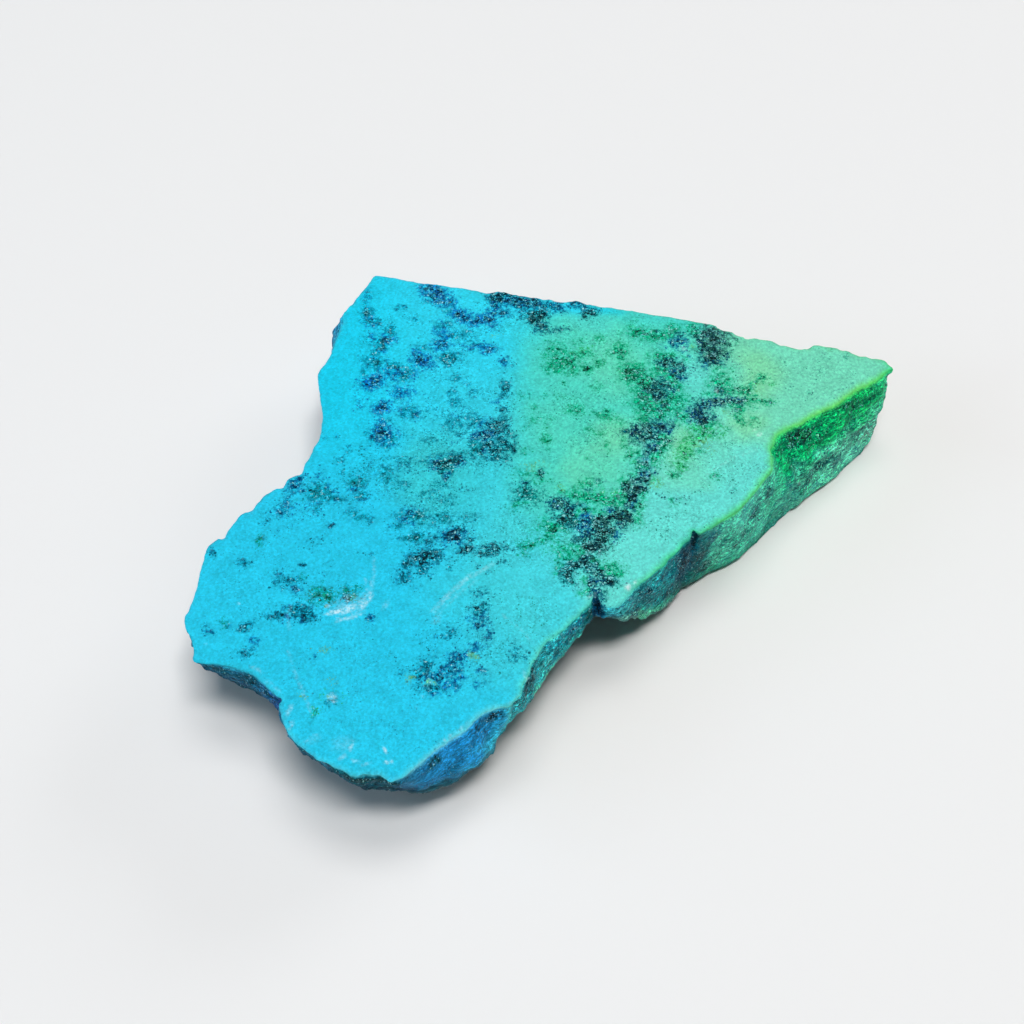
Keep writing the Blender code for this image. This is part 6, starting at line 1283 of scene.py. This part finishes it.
# the underside: painted dark for the shade under the overhang, with browner patches
under = 1 - ON_WALL
earth = smooth(-0.1, 0.5, noise(W * 0.18, 122) + 0.5 * noise(W * 0.5, 123))
u_shade_ink = np.array(UNDER_SHADE_INK, float) + (np.array(UNDER_EARTH, float) - np.array(UNDER_SHADE_INK, float)) * earth[:, None]
u_shade_ink *= (1 + 0.18 * mott)[:, None]
w_ink = w_ink + (u_shade_ink - w_ink) * (under * 0.85)[:, None]
w_dark = np.zeros(len(W))
w_mark = w_ink * np.array([0.35, 0.58, 0.68]) + np.array([4.0, 8.0, 22.0])
wq = W + np.column_stack([noise(W * 0.9, 124), noise(W * 0.9, 125), noise(W * 0.9, 126)]) * 0.5
dwarp = d_flat + 0.35 * noise(W * 0.9, 127) + 0.2 * noise(W * 2.2, 128)
for wx, wy, wd, wl, wh, s, colour in WALL_MARKS:
    g = arc_gap(a_flat, arc_at(wx, wy)) + 0.5 * noise(W * 0.9, 129)
    q = np.hypot(g / (wl * 1.15), (dwarp - wd) / (wh * 1.15))
    q = q + 0.30 * noise(W * 1.5, 130) + 0.2 * noise(W * 3.4, 131)
    f = np.maximum(s * smooth(1.35, 0.45, q), 0.5 * s * smooth(2.0, 0.9, q)) * smooth(0.1, 0.5, d_flat)
    win = f > w_dark
    w_mark[win] = colour
    w_dark = np.maximum(w_dark, f)
busy = 0.55 + 0.35 * (FRONT + LOBE + BAND + NOTCH) + 0.20 * RIGHT + 0.30 * SCOOP - 0.22 * FACET
w_speck = np.clip(busy + 0.60 * noise(W * 0.7, 132), 0, 1.3) * smooth(0.10, 0.5, d_flat)
# a film of dark mineral all over the broken walls, thicker in places
film = 0.20 + 0.10 * (LOBE + BAND + NOTCH + FRONT) - 0.08 * FACET - 0.02 * RIGHT
film = film + 0.30 * noise(W * 0.45, 135) + 0.16 * noise(W * 1.2, 136)
w_dark = np.maximum(w_dark, np.clip(film, 0, 0.6) * smooth(0.3, 0.9, d_flat) * ON_WALL
                    * (1 - 0.85 * (LOBE + 0.5 * FRONT) * smooth(0.70, 0.88, ff)))
lobe_top = region(7.2, -11.0, 4.4, -12.5, 0.5) * smooth(3.0, 2.2, d_flat)
w_speck *= 1 - 0.7 * lobe_top
w_pale = np.zeros(len(W))
# a pale line along the lip of the lobe, front and facet walls: painted highlight on their lower edge
w_pale = np.maximum(w_pale, 0.42 * np.exp(-((f_flat - 0.985) / 0.06) ** 2)
                    * (0.9 * LOBE * smooth(-0.3, 0.4, noise(W * 0.6, 133)) + 0.5 * FRONT
                       + 0.2 * FACET))
w_pale = np.maximum(w_pale, 0.22 * smooth(0.5, 1.0, noise(W * 1.1, 134)) * smooth(0.3, 0.8, d_flat) * ON_WALL)
w_pale = np.maximum(w_pale, pale[:N].repeat(COLUMN_ROWS) * smooth(0.9, 0.2, d_flat))

# rim row of the wall is the first row of the face
R = COLUMN_ROWS
co = np.vstack([W, np.column_stack([inner, top_z[N:]])])
side = np.concatenate([smooth(0.05, 0.5, d_flat), np.zeros(len(inner))])


def join(wall_values, face_values, fade=True):
    out = np.array(wall_values, float)
    out.reshape((N, R) + out.shape[1:])[:, 0] = face_values[:N]
    return np.concatenate([out, face_values[N:]])


# how far round the rim and how far down each point is: the grain of the walls
# runs along them
along = np.minimum(a_flat, LENGTH - a_flat)
along_all = np.concatenate([along, np.zeros(len(inner))])
deep_all = np.concatenate([d_flat, np.zeros(len(inner))])
rug = 1.0 - 0.10 * SCOOP - 0.56 * RIGHT - 0.62 * FACET + 0.18 * (LOBE + FRONT) + 0.2 * (BAND + NOTCH)
rug_all = np.concatenate([rug * smooth(0.1, 0.6, d_flat), np.zeros(len(inner))])
ink_all = join(w_ink, ink)
mark_all = join(w_mark, mark)
dark_all = join(w_dark, dark)
speck_all = join(w_speck, speck)
pale_all = join(w_pale, pale)

# =================================================================== the mesh
rim_id = np.arange(N) * R
face_id = np.concatenate([rim_id, N * R + np.arange(len(inner))])
tris = [face_id[top_tris]]
i0 = np.arange(N)
i1 = (i0 + 1) % N
for r in range(R - 1):
    a, b = i0 * R + r, i1 * R + r
    c, d = i1 * R + r + 1, i0 * R + r + 1
    flip = ((i0 + r) % 2 == 0)
    tris.append(np.column_stack([a, b, c])[flip])
    tris.append(np.column_stack([a, c, d])[flip])
    tris.append(np.column_stack([a, b, d])[~flip])
    tris.append(np.column_stack([b, c, d])[~flip])
foot_id = i0 * R + R - 1
foot_flat = [Vector(co[k, :2]) for k in foot_id]
cap = delaunay_2d_cdt(foot_flat, [], [list(range(N))], 1, 1e-7, True)
cap_back = np.zeros(len(cap[0]), int)
for nw, olds in enumerate(cap[3]):
    for o in olds[:1]:
        cap_back[nw] = o
cap_tris = foot_id[cap_back[np.array([list(f) for f in cap[2]])]]
cap_tris = cap_tris[inside(co[cap_tris][:, :, :2].mean(1), co[foot_id, :2])]
n_side = sum(len(t) for t in tris)
tris.append(cap_tris)
tris = np.vstack(tris)
n_top = len(top_tris)


def oriented(t, up):
    a, b, c = co[t[:, 0]], co[t[:, 1]], co[t[:, 2]]
    z = (b[:, 0] - a[:, 0]) * (c[:, 1] - a[:, 1]) - (b[:, 1] - a[:, 1]) * (c[:, 0] - a[:, 0])
    bad = (z < 0) == up
    t[bad] = t[bad][:, ::-1]
    return t


tris[:n_top] = oriented(tris[:n_top], True)
tris[n_side:] = oriented(tris[n_side:], False)
# walls: check one way round and turn them all together
t = tris[n_top:n_side]
a, b, c = co[t[:, 0]], co[t[:, 1]], co[t[:, 2]]
fn = np.cross(b - a, c - a)
outward = np.column_stack([normal2, np.zeros(N)])[np.minimum(t[:, 0] // R, N - 1)]
if (fn * outward).sum() < 0:
    tris[n_top:n_side] = t[:, ::-1]

mesh = bpy.data.meshes.new("rough_turquoise")
metres = (co - np.append(CENTRE, 0.0)) * MM
mesh.vertices.add(len(co))
mesh.vertices.foreach_set("co", metres.astype(np.float32).ravel())
mesh.loops.add(len(tris) * 3)
mesh.loops.foreach_set("vertex_index", tris.astype(np.int32).ravel())
mesh.polygons.add(len(tris))
mesh.polygons.foreach_set("loop_start", np.arange(0, len(tris) * 3, 3, dtype=np.int32))
mesh.polygons.foreach_set("loop_total", np.full(len(tris), 3, np.int32))
mesh.polygons.foreach_set("use_smooth", np.ones(len(tris), bool))
mesh.update(calc_edges=True)
mesh.validate()


def put(name, kind, values):
    att = mesh.attributes.new(name, kind, "POINT")
    if kind == "FLOAT_COLOR":
        att.data.foreach_set("color", np.column_stack([values, np.ones(len(values))])
                             .astype(np.float32).ravel())
    else:
        att.data.foreach_set("value", np.asarray(values, np.float32))


LIGHT = 1.05               # light on a level surface, display units
put("ink", "FLOAT_COLOR", srgb(ink_all) / LIGHT)
put("mark", "FLOAT_COLOR", srgb(mark_all) / LIGHT)
put("dark", "FLOAT", dark_all)
put("speck", "FLOAT", speck_all)
put("pale", "FLOAT", pale_all)
put("side", "FLOAT", side)
put("along", "FLOAT", along_all)
put("deep", "FLOAT", deep_all)
put("rug", "FLOAT", rug_all)

# UV layout: the face top left, the walls in three strips below it, the foot
# at the right
uv = np.zeros((len(tris) * 3, 2))
loops = tris.ravel()
tri_no = np.repeat(np.arange(len(tris)), 3)
lo2, hi2 = co[:, :2].min(0), co[:, :2].max(0)
m = tri_no < n_top
uv[m] = (co[loops[m], :2] - lo2) * 0.0100 + np.array([0.004, 0.302])
m = tri_no >= n_side
uv[m] = (co[loops[m], :2] - lo2) * 0.0025 + np.array([0.795, 0.31])
m = (tri_no >= n_top) & (tri_no < n_side)
base = np.repeat((tris[n_top:n_side, 0] // R), 3)
col = loops[m] // R
row = loops[m] % R
rel = np.array(arc)[col]
first_col = tris[n_top:n_side] // R
wrap = (first_col.max(1) - first_col.min(1)) > N // 2
rel = np.where(np.repeat(wrap, 3) & (col < N // 2), rel + LENGTH, rel)
third = LENGTH / 3
mid = rel.reshape(-1, 3).mean(1)
strip = np.clip((mid // third).astype(int), 0, 2)
strip3 = np.repeat(strip, 3)
uu = (rel - strip3 * third) / third * 0.965 + 0.012
vv = down[col, row] / foot_walk[col]
uv[m] = np.column_stack([uu, 0.003 + strip3 * 0.099 + (1 - vv) * 0.092])
layer = mesh.uv_layers.new(name="OFBake")
layer.data.foreach_set("uv", np.clip(uv, 0, 1).astype(np.float32).ravel())

stone = bpy.data.objects.new("rough_turquoise", mesh)
bpy.context.scene.collection.objects.link(stone)
# =============================================================== the material
def build_material():
    mat = bpy.data.materials.new("turquoise")
    mat.use_nodes = True
    nt = mat.node_tree
    for n in list(nt.nodes):
        nt.nodes.remove(n)

    def new(kind, **props):
        n = nt.nodes.new(kind)
        for k, val in props.items():
            setattr(n, k, val)
        return n

    def feed(node, key, val):
        if isinstance(val, bpy.types.NodeSocket):
            nt.links.new(val, node.inputs[key])
        else:
            node.inputs[key].default_value = val

    def math_(op, a, b=None, c=None, clamp=False):
        n = new("ShaderNodeMath", operation=op, use_clamp=clamp)
        feed(n, 0, a)
        if b is not None:
            feed(n, 1, b)
        if c is not None:
            feed(n, 2, c)
        return n.outputs[0]

    def ramp(val, a, b, lo=0.0, hi=1.0):
        n = new("ShaderNodeMapRange", interpolation_type="SMOOTHSTEP")
        feed(n, "Value", val)
        feed(n, "From Min", a)
        feed(n, "From Max", b)
        feed(n, "To Min", lo)
        feed(n, "To Max", hi)
        return n.outputs[0]

    def blend(fac, a, b, kind="MIX"):
        n = new("ShaderNodeMix", data_type="RGBA", blend_type=kind)
        n.clamp_factor = True
        feed(n, 0, fac)
        feed(n, 6, a)
        feed(n, 7, b)
        return n.outputs[2]

    def scale_rgb(colour, k):
        n = new("ShaderNodeVectorMath", operation="SCALE")
        feed(n, 0, colour)
        feed(n, "Scale", k)
        return n.outputs[0]

    def attr(name, out):
        n = new("ShaderNodeAttribute", attribute_name=name)
        return n.outputs[out]

    coord = new("ShaderNodeTexCoord").outputs["Object"]
    mm = new("ShaderNodeVectorMath", operation="SCALE")
    feed(mm, 0, coord)
    feed(mm, "Scale", 1000.0)
    mm = mm.outputs[0]

    def moved(src, offset):
        n = new("ShaderNodeVectorMath", operation="ADD")
        feed(n, 0, src)
        n.inputs[1].default_value = (offset * 7.3, offset * 3.1, offset * 5.7)
        return n.outputs[0]

    def tex(per_mm, detail=0.0, rough=0.5, offset=0.0, src=None):
        n = new("ShaderNodeTexNoise", noise_dimensions="3D")
        feed(n, "Vector", moved(src or mm, offset))
        feed(n, "Scale", per_mm)
        feed(n, "Detail", detail)
        feed(n, "Roughness", rough)
        return n.outputs[0]

    def voro(per_mm, offset, src):
        n = new("ShaderNodeTexVoronoi", voronoi_dimensions="3D", feature="F1")
        feed(n, "Vector", moved(src, offset))
        feed(n, "Scale", per_mm)
        feed(n, "Randomness", 1.0)
        sep = new("ShaderNodeSeparateColor")
        feed(sep, 0, n.outputs["Color"])
        return n.outputs["Distance"], sep.outputs[0], sep.outputs[1], sep.outputs[2]

    # coordinates shaken a little, so grains are not round
    shake = new("ShaderNodeTexNoise", noise_dimensions="3D")
    feed(shake, "Vector", mm)
    feed(shake, "Scale", 3.1)
    feed(shake, "Detail", 1.0)
    off = new("ShaderNodeVectorMath", operation="SUBTRACT")
    feed(off, 0, shake.outputs["Color"])
    off.inputs[1].default_value = (0.5, 0.5, 0.5)
    offs = new("ShaderNodeVectorMath", operation="SCALE")
    feed(offs, 0, off.outputs[0])
    feed(offs, "Scale", 0.30)
    warped = new("ShaderNodeVectorMath", operation="ADD")
    feed(warped, 0, mm)
    feed(warped, 1, offs.outputs[0])
    warped = warped.outputs[0]

    ink, mark = attr("ink", "Color"), attr("mark", "Color")
    dark, speck = attr("dark", "Fac"), attr("speck", "Fac")
    pale, side = attr("pale", "Fac"), attr("side", "Fac")
    rug = attr("rug", "Fac")
    # streaks that run along the walls
    flow = new("ShaderNodeCombineXYZ")
    feed(flow, 0, math_("MULTIPLY", attr("along", "Fac"), 0.55))
    feed(flow, 1, math_("MULTIPLY", attr("deep", "Fac"), 1.9))
    flow2 = new("ShaderNodeVectorMath", operation="ADD")
    feed(flow2, 0, flow.outputs[0])
    feed(flow2, 1, offs.outputs[0])
    streaks = tex(1.0, 3.0, 0.74, 17.0, flow2.outputs[0])
    scuffs = tex(2.7, 2.0, 0.70, 19.0, flow2.outputs[0])

    # clean stone: cloudy, finely granular
    cloud = tex(0.55, 2.0, 0.55, 1.0)
    fine = tex(3.4, 1.0, 0.6, 2.0)
    mottle = tex(1.7, 3.0, 0.68, 11.0)
    d2, r2, g2, b2 = voro(3.3, 20.0, warped)
    d3, r3, g3, b3 = voro(5.6, 30.0, warped)
    gain = math_("ADD", ramp(cloud, 0.30, 0.70, 0.95, 1.05), ramp(fine, 0.25, 0.75, -0.12, 0.12))
    sugar = math_("MULTIPLY", math_("SUBTRACT", g3, 0.5), math_("MULTIPLY_ADD", speck, 0.60, 0.17))
    gain = math_("ADD", gain, sugar)
    gain = math_("MULTIPLY", gain, ramp(math_("MULTIPLY", side, fine), 0.2, 0.7, 1.0, 1.15))
    rocky = math_("MULTIPLY_ADD", streaks, 0.48, math_("MULTIPLY", mottle, 0.30))
    rocky = math_("MULTIPLY_ADD", scuffs, 0.22, rocky)
    wall_tone = math_("MULTIPLY", math_("SUBTRACT", ramp(rocky, 0.38, 0.62, 0.36, 1.56), 1.0), rug)
    wall_tone = math_("MULTIPLY_ADD", math_("SUBTRACT", ramp(scuffs, 0.36, 0.64, 0.72, 1.28), 1.0), side, wall_tone)
    gain = math_("MULTIPLY", gain, math_("ADD", wall_tone, 1.0))
    body = scale_rgb(ink, gain)
    body = blend(math_("MULTIPLY", ramp(rocky, 0.50, 0.38), rug, clamp=True), body,
                 blend(1.0, body, (0.50, 0.92, 1.05, 1.0), "MULTIPLY"))
    # green and blue drift in small clouds
    drift = tex(1.5, 1.0, 0.6, 4.0)
    body = blend(ramp(drift, 0.45, 0.75, 0.0, 0.35), body,
                 blend(1.0, body, (0.80, 0.94, 0.86, 1.0), "MULTIPLY"))

    # dark mineral: a soft stain where the painted density is middling, a core
    # where it is high, both broken up by noise
    wide = math_("MAXIMUM", dark, math_("MULTIPLY", speck, 0.32))
    q = math_("MULTIPLY_ADD", mottle, 2.3, math_("SUBTRACT", wide, 1.15))
    q = math_("ADD", q, ramp(dark, 0.70, 0.95, 0.0, 0.30))
    stain = math_("MULTIPLY", ramp(q, 0.16, 0.70), ramp(wide, 0.03, 0.30, 0.0, 0.86))
    core = math_("MULTIPLY", ramp(q, 0.44, 0.86), ramp(dark, 0.25, 0.50))
    tint = new("ShaderNodeSeparateColor")
    feed(tint, 0, ink)
    greener = ramp(tint.outputs[0], 0.03, 0.09)
    soaked = blend(1.0, body, blend(greener, (0.10, 0.36, 0.54, 1.0), (0.04, 0.50, 0.36, 1.0)), "MULTIPLY")
    soaked = blend(ramp(dark, 0.15, 0.6, 0.15, 0.60), soaked, scale_rgb(mark, 1.55))
    colour = blend(stain, body, scale_rgb(soaked, ramp(g3, 0.0, 1.0, 0.52, 1.50)))
    # loose grains in two sizes
    clump = ramp(tex(1.15, 2.0, 0.6, 5.0), 0.36, 0.66, 0.30, 1.5)
    loose = math_("MULTIPLY", speck, clump)

    def layer(prob, rnd, dist, size, opacity):
        show = ramp(math_("SUBTRACT", prob, rnd), -0.05, 0.05)
        disc = ramp(math_("SUBTRACT", size, dist), -0.14, 0.12)
        return math_("MULTIPLY", math_("MULTIPLY", show, disc), opacity)

    p2 = math_("MULTIPLY_ADD", loose, 0.24, math_("MULTIPLY", dark, 0.62))
    p3 = math_("MULTIPLY_ADD", loose, 0.72, math_("MULTIPLY", dark, 0.60))
    c2 = layer(p2, r2, d2, math_("MULTIPLY_ADD", dark, 0.20, 0.38), ramp(g2, 0.0, 0.8, 0.40, 0.95))
    c3 = layer(p3, r3, d3, math_("MULTIPLY_ADD", dark, 0.20, 0.42), ramp(g3, 0.0, 0.8, 0.38, 0.95))
    wires = math_("ABSOLUTE", math_("SUBTRACT", tex(2.0, 2.0, 0.62, 47.0, warped), 0.5))
    wires = math_("MULTIPLY", ramp(wires, 0.040, 0.010), ramp(wide, 0.06, 0.45, 0.0, 0.80))
    wires = math_("MULTIPLY", wires, ramp(clump, 0.5, 1.4))
    cover = math_("MAXIMUM", math_("MAXIMUM", c2, c3), wires)
    colour = blend(cover, colour, scale_rgb(mark, 1.0))
    # cores: dark, each grain its own shade
    clots = tex(1.55, 2.0, 0.62, 43.0, warped)
    tone = math_("MULTIPLY", ramp(g2, 0.10, 0.95, 0.10, 1.45), ramp(b3, 0.1, 0.95, 0.60, 1.45))
    tone = math_("MULTIPLY", tone, ramp(clots, 0.40, 0.62, 0.30, 1.60))
    grains = scale_rgb(mark, tone)
    grains = blend(ramp(b2, 0.55, 0.95, 0.0, 0.5), grains,
                   blend(1.0, grains, (0.80, 0.95, 1.12, 1.0), "MULTIPLY"))
    # some grains let the stone through, dulled
    let_in = blend(0.06, scale_rgb(body, 0.50), (0.5, 0.5, 0.6, 1.0))
    let_in = scale_rgb(let_in, ramp(g2, 0.0, 0.9, 0.30, 1.60))
    let_in = scale_rgb(let_in, ramp(dark, 0.85, 1.0, 1.0, 0.42))
    shown = math_("MULTIPLY_ADD", math_("SUBTRACT", clots, 0.5), 1.2, math_("MULTIPLY_ADD", r3, 0.6, math_("MULTIPLY", r2, 0.4)))
    grains = blend(math_("MULTIPLY", ramp(shown, 0.62, 0.69), ramp(dark, 0.80, 0.98, 1.0, 0.45)), grains, let_in)
    # thin bright threads between the grains
    threads = math_("ABSOLUTE", math_("SUBTRACT", tex(2.1, 2.0, 0.58, 41.0, warped), 0.5))
    threads = math_("MULTIPLY", ramp(threads, 0.030, 0.005), ramp(r2, 0.40, 0.60))
    grains = blend(math_("MULTIPLY", threads, ramp(dark, 0.85, 1.0, 0.75, 0.35)), grains,
                   blend(0.10, scale_rgb(body, 0.66), (0.6, 0.7, 0.75, 1.0)))
    core = math_("MULTIPLY", core, ramp(g3, 0.0, 0.35, 0.60, 1.0))
    colour = blend(core, colour, grains)
    cover = math_("MAXIMUM", cover, core)
    # glints inside the grain patches and, fewer, in the loose speckle
    busy = math_("MAXIMUM", math_("MAXIMUM", dark, math_("MULTIPLY", speck, 0.45)), math_("MULTIPLY", rug, 0.45))
    spark = math_("MULTIPLY", ramp(math_("ADD", b3, math_("MULTIPLY", side, 0.04)), 0.83, 0.88), ramp(d3, 0.60, 0.36))
    big = math_("MULTIPLY", ramp(b2, 0.72, 0.78), ramp(d2, 0.36, 0.18))
    spark = math_("MAXIMUM", math_("MULTIPLY", spark, 0.85), big)
    spark = math_("MULTIPLY", spark, ramp(busy, 0.15, 0.7, 0.0, 0.90))
    spark = math_("MULTIPLY", spark, ramp(dark, 0.9, 1.0, 1.0, 0.55))
    sparkle = blend(ramp(r2, 0.62, 0.72), scale_rgb(body, 1.05), blend(g2, (0.16, 0.62, 0.70, 1.0), (0.42, 0.82, 0.82, 1.0)))
    colour = blend(spark, colour, sparkle)
    # pale marks: powder and scratches, with painted highlights along the rims and the lips of the walls
    streaky = tex(2.8, 2.0, 0.7, 6.0)
    powder_and_highlight = math_("MULTIPLY", pale, ramp(streaky, 0.34, 0.60, 0.25, 1.2), clamp=True)
    powder_and_highlight = math_("MULTIPLY", powder_and_highlight, ramp(g3, 0.1, 0.9, 0.75, 1.15), clamp=True)
    colour = blend(powder_and_highlight, colour, blend(0.80, colour, (0.78, 0.92, 0.95, 1.0)))

    # no red at all in the deepest grains
    parts = new("ShaderNodeSeparateColor")
    feed(parts, 0, colour)
    red = math_("SUBTRACT", parts.outputs[0], math_("MULTIPLY", ramp(dark, 0.25, 0.65), 0.007))
    whole = new("ShaderNodeCombineColor")
    feed(whole, 0, math_("MAXIMUM", red, 0.0008))
    feed(whole, 1, parts.outputs[1])
    feed(whole, 2, parts.outputs[2])
    colour = whole.outputs[0]

    shader = new("ShaderNodeBsdfPrincipled")
    feed(shader, "Base Color", colour)
    rough = math_("ADD", ramp(fine, 0.2, 0.8, 0.60, 0.76), math_("MULTIPLY", cover, -0.16))
    feed(shader, "Roughness", rough)
    shader.inputs["Metallic"].default_value = 0.0
    shader.inputs["IOR"].default_value = 1.5
    shader.inputs["Specular IOR Level"].default_value = 0.14
    shader.inputs["Specular Tint"].default_value = (0.10, 0.90, 1.0, 1.0)

    # relief finer than the mesh
    h = math_("MULTIPLY", tex(4.2, 2.0, 0.65, 7.0), math_("MULTIPLY_ADD", side, 0.07, 0.045))
    h = math_("ADD", h, math_("MULTIPLY", math_("MULTIPLY", streaks, rug), 0.16))
    dome = math_("MULTIPLY", math_("MAXIMUM", dark, math_("MULTIPLY", speck, 0.35)),
                 math_("SUBTRACT", 0.7, d2))
    h = math_("ADD", h, math_("MULTIPLY", dome, 0.085))
    bump = new("ShaderNodeBump")
    bump.inputs["Strength"].default_value = 1.0
    bump.inputs["Distance"].default_value = 0.001
    feed(bump, "Height", h)
    feed(shader, "Normal", bump.outputs[0])
    out = new("ShaderNodeOutputMaterial")
    nt.links.new(shader.outputs[0], out.inputs["Surface"])
    return mat


mesh.materials.append(build_material())
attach(stone, "root")
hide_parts("turquoise_slab")

# ================================================================== the stage
floor_mesh = bpy.data.meshes.new("paper")
s = 1.5
floor_mesh.from_pydata([(-s, -s, 0), (s, -s, 0), (s, s, 0), (-s, s, 0)], [], [(0, 1, 2, 3)])
floor = bpy.data.objects.new("paper", floor_mesh)
floor.location = (0, 0, -0.00002)
bpy.context.scene.collection.objects.link(floor)
paper = bpy.data.materials.new("paper")
paper.use_nodes = True
bsdf = paper.node_tree.nodes["Principled BSDF"]
bsdf.inputs["Base Color"].default_value = (0.82, 0.82, 0.82, 1.0)
bsdf.inputs["Roughness"].default_value = 0.9
bsdf.inputs["Specular IOR Level"].default_value = 0.0
floor_mesh.materials.append(paper)

scene = bpy.context.scene
scene.view_settings.view_transform = "Standard"
scene.view_settings.look = "None"
scene.view_settings.exposure = 0.0
scene.view_settings.gamma = 1.0
world = bpy.data.worlds.new("room")
scene.world = world
world.use_nodes = True
bg = world.node_tree.nodes["Background"]
bg.inputs[0].default_value = (1.0, 1.0, 1.0, 1.0)
# dim overhead, pale low down like the walls of a light tent
AMBIENT = 0.045
sky = world.node_tree.nodes.new("ShaderNodeTexCoord")
height = world.node_tree.nodes.new("ShaderNodeSeparateXYZ")
fade = world.node_tree.nodes.new("ShaderNodeMapRange")
fade.interpolation_type = "SMOOTHSTEP"
world.node_tree.links.new(sky.outputs["Generated"], height.inputs[0])
world.node_tree.links.new(height.outputs[2], fade.inputs["Value"])
fade.inputs["From Min"].default_value = 0.08
fade.inputs["From Max"].default_value = 0.20
fade.inputs["To Min"].default_value = 0.72
fade.inputs["To Max"].default_value = AMBIENT
world.node_tree.links.new(fade.outputs[0], bg.inputs[1])

# two soft boxes overhead and two low fills: name | direction to it (x, y) |
# light it gives | width, depth as seen from the stone | tint
BOXES = [("back box", 0.040, 0.200, 0.29, 0.52, 0.38, (1.02, 1.0, 0.98)),
         ("front box", 0.070, -0.265, 0.58, 0.42, 0.17, (1.02, 1.0, 0.98)),
         ("right fill", 0.650, 0.620, 0.090, 0.50, 0.36, (0.98, 1.0, 1.02)),
         ("left fill", -0.880, -0.150, 0.105, 0.80, 0.36, (0.72, 0.97, 1.20))]
REACH = 1.3
for name, dx, dy, share, w, d, tint in BOXES:
    dz = math.sqrt(1 - dx * dx - dy * dy)
    lamp = bpy.data.lights.new(name, "AREA")
    lamp.shape = "RECTANGLE"
    lamp.size, lamp.size_y = w * REACH, d * REACH
    lamp.energy = share * math.pi ** 2 * REACH ** 2 / dz
    lamp.color = tint
    ob = bpy.data.objects.new(name, lamp)
    here = Vector((dx, dy, dz)) * REACH
    ob.location = here
    ob.rotation_euler = here.to_track_quat("Z", "Y").to_euler()
    scene.collection.objects.link(ob)

# camera: 52 degrees down at the stone, long lens
camera = bpy.data.cameras.new("camera")
camera.lens = 65.0
camera.sensor_width = 36.0
camera.clip_start = 0.01
camera.clip_end = 10.0
eye = bpy.data.objects.new("camera", camera)
target = Vector((-5.05, -1.40, 12.0)) * MM
tip = math.radians(52.0)
eye.location = target + Vector((0, -math.cos(tip), math.sin(tip))) * 0.200
eye.rotation_euler = Euler((math.radians(90 - 52), 0, 0))
scene.collection.objects.link(eye)
scene.camera = eye
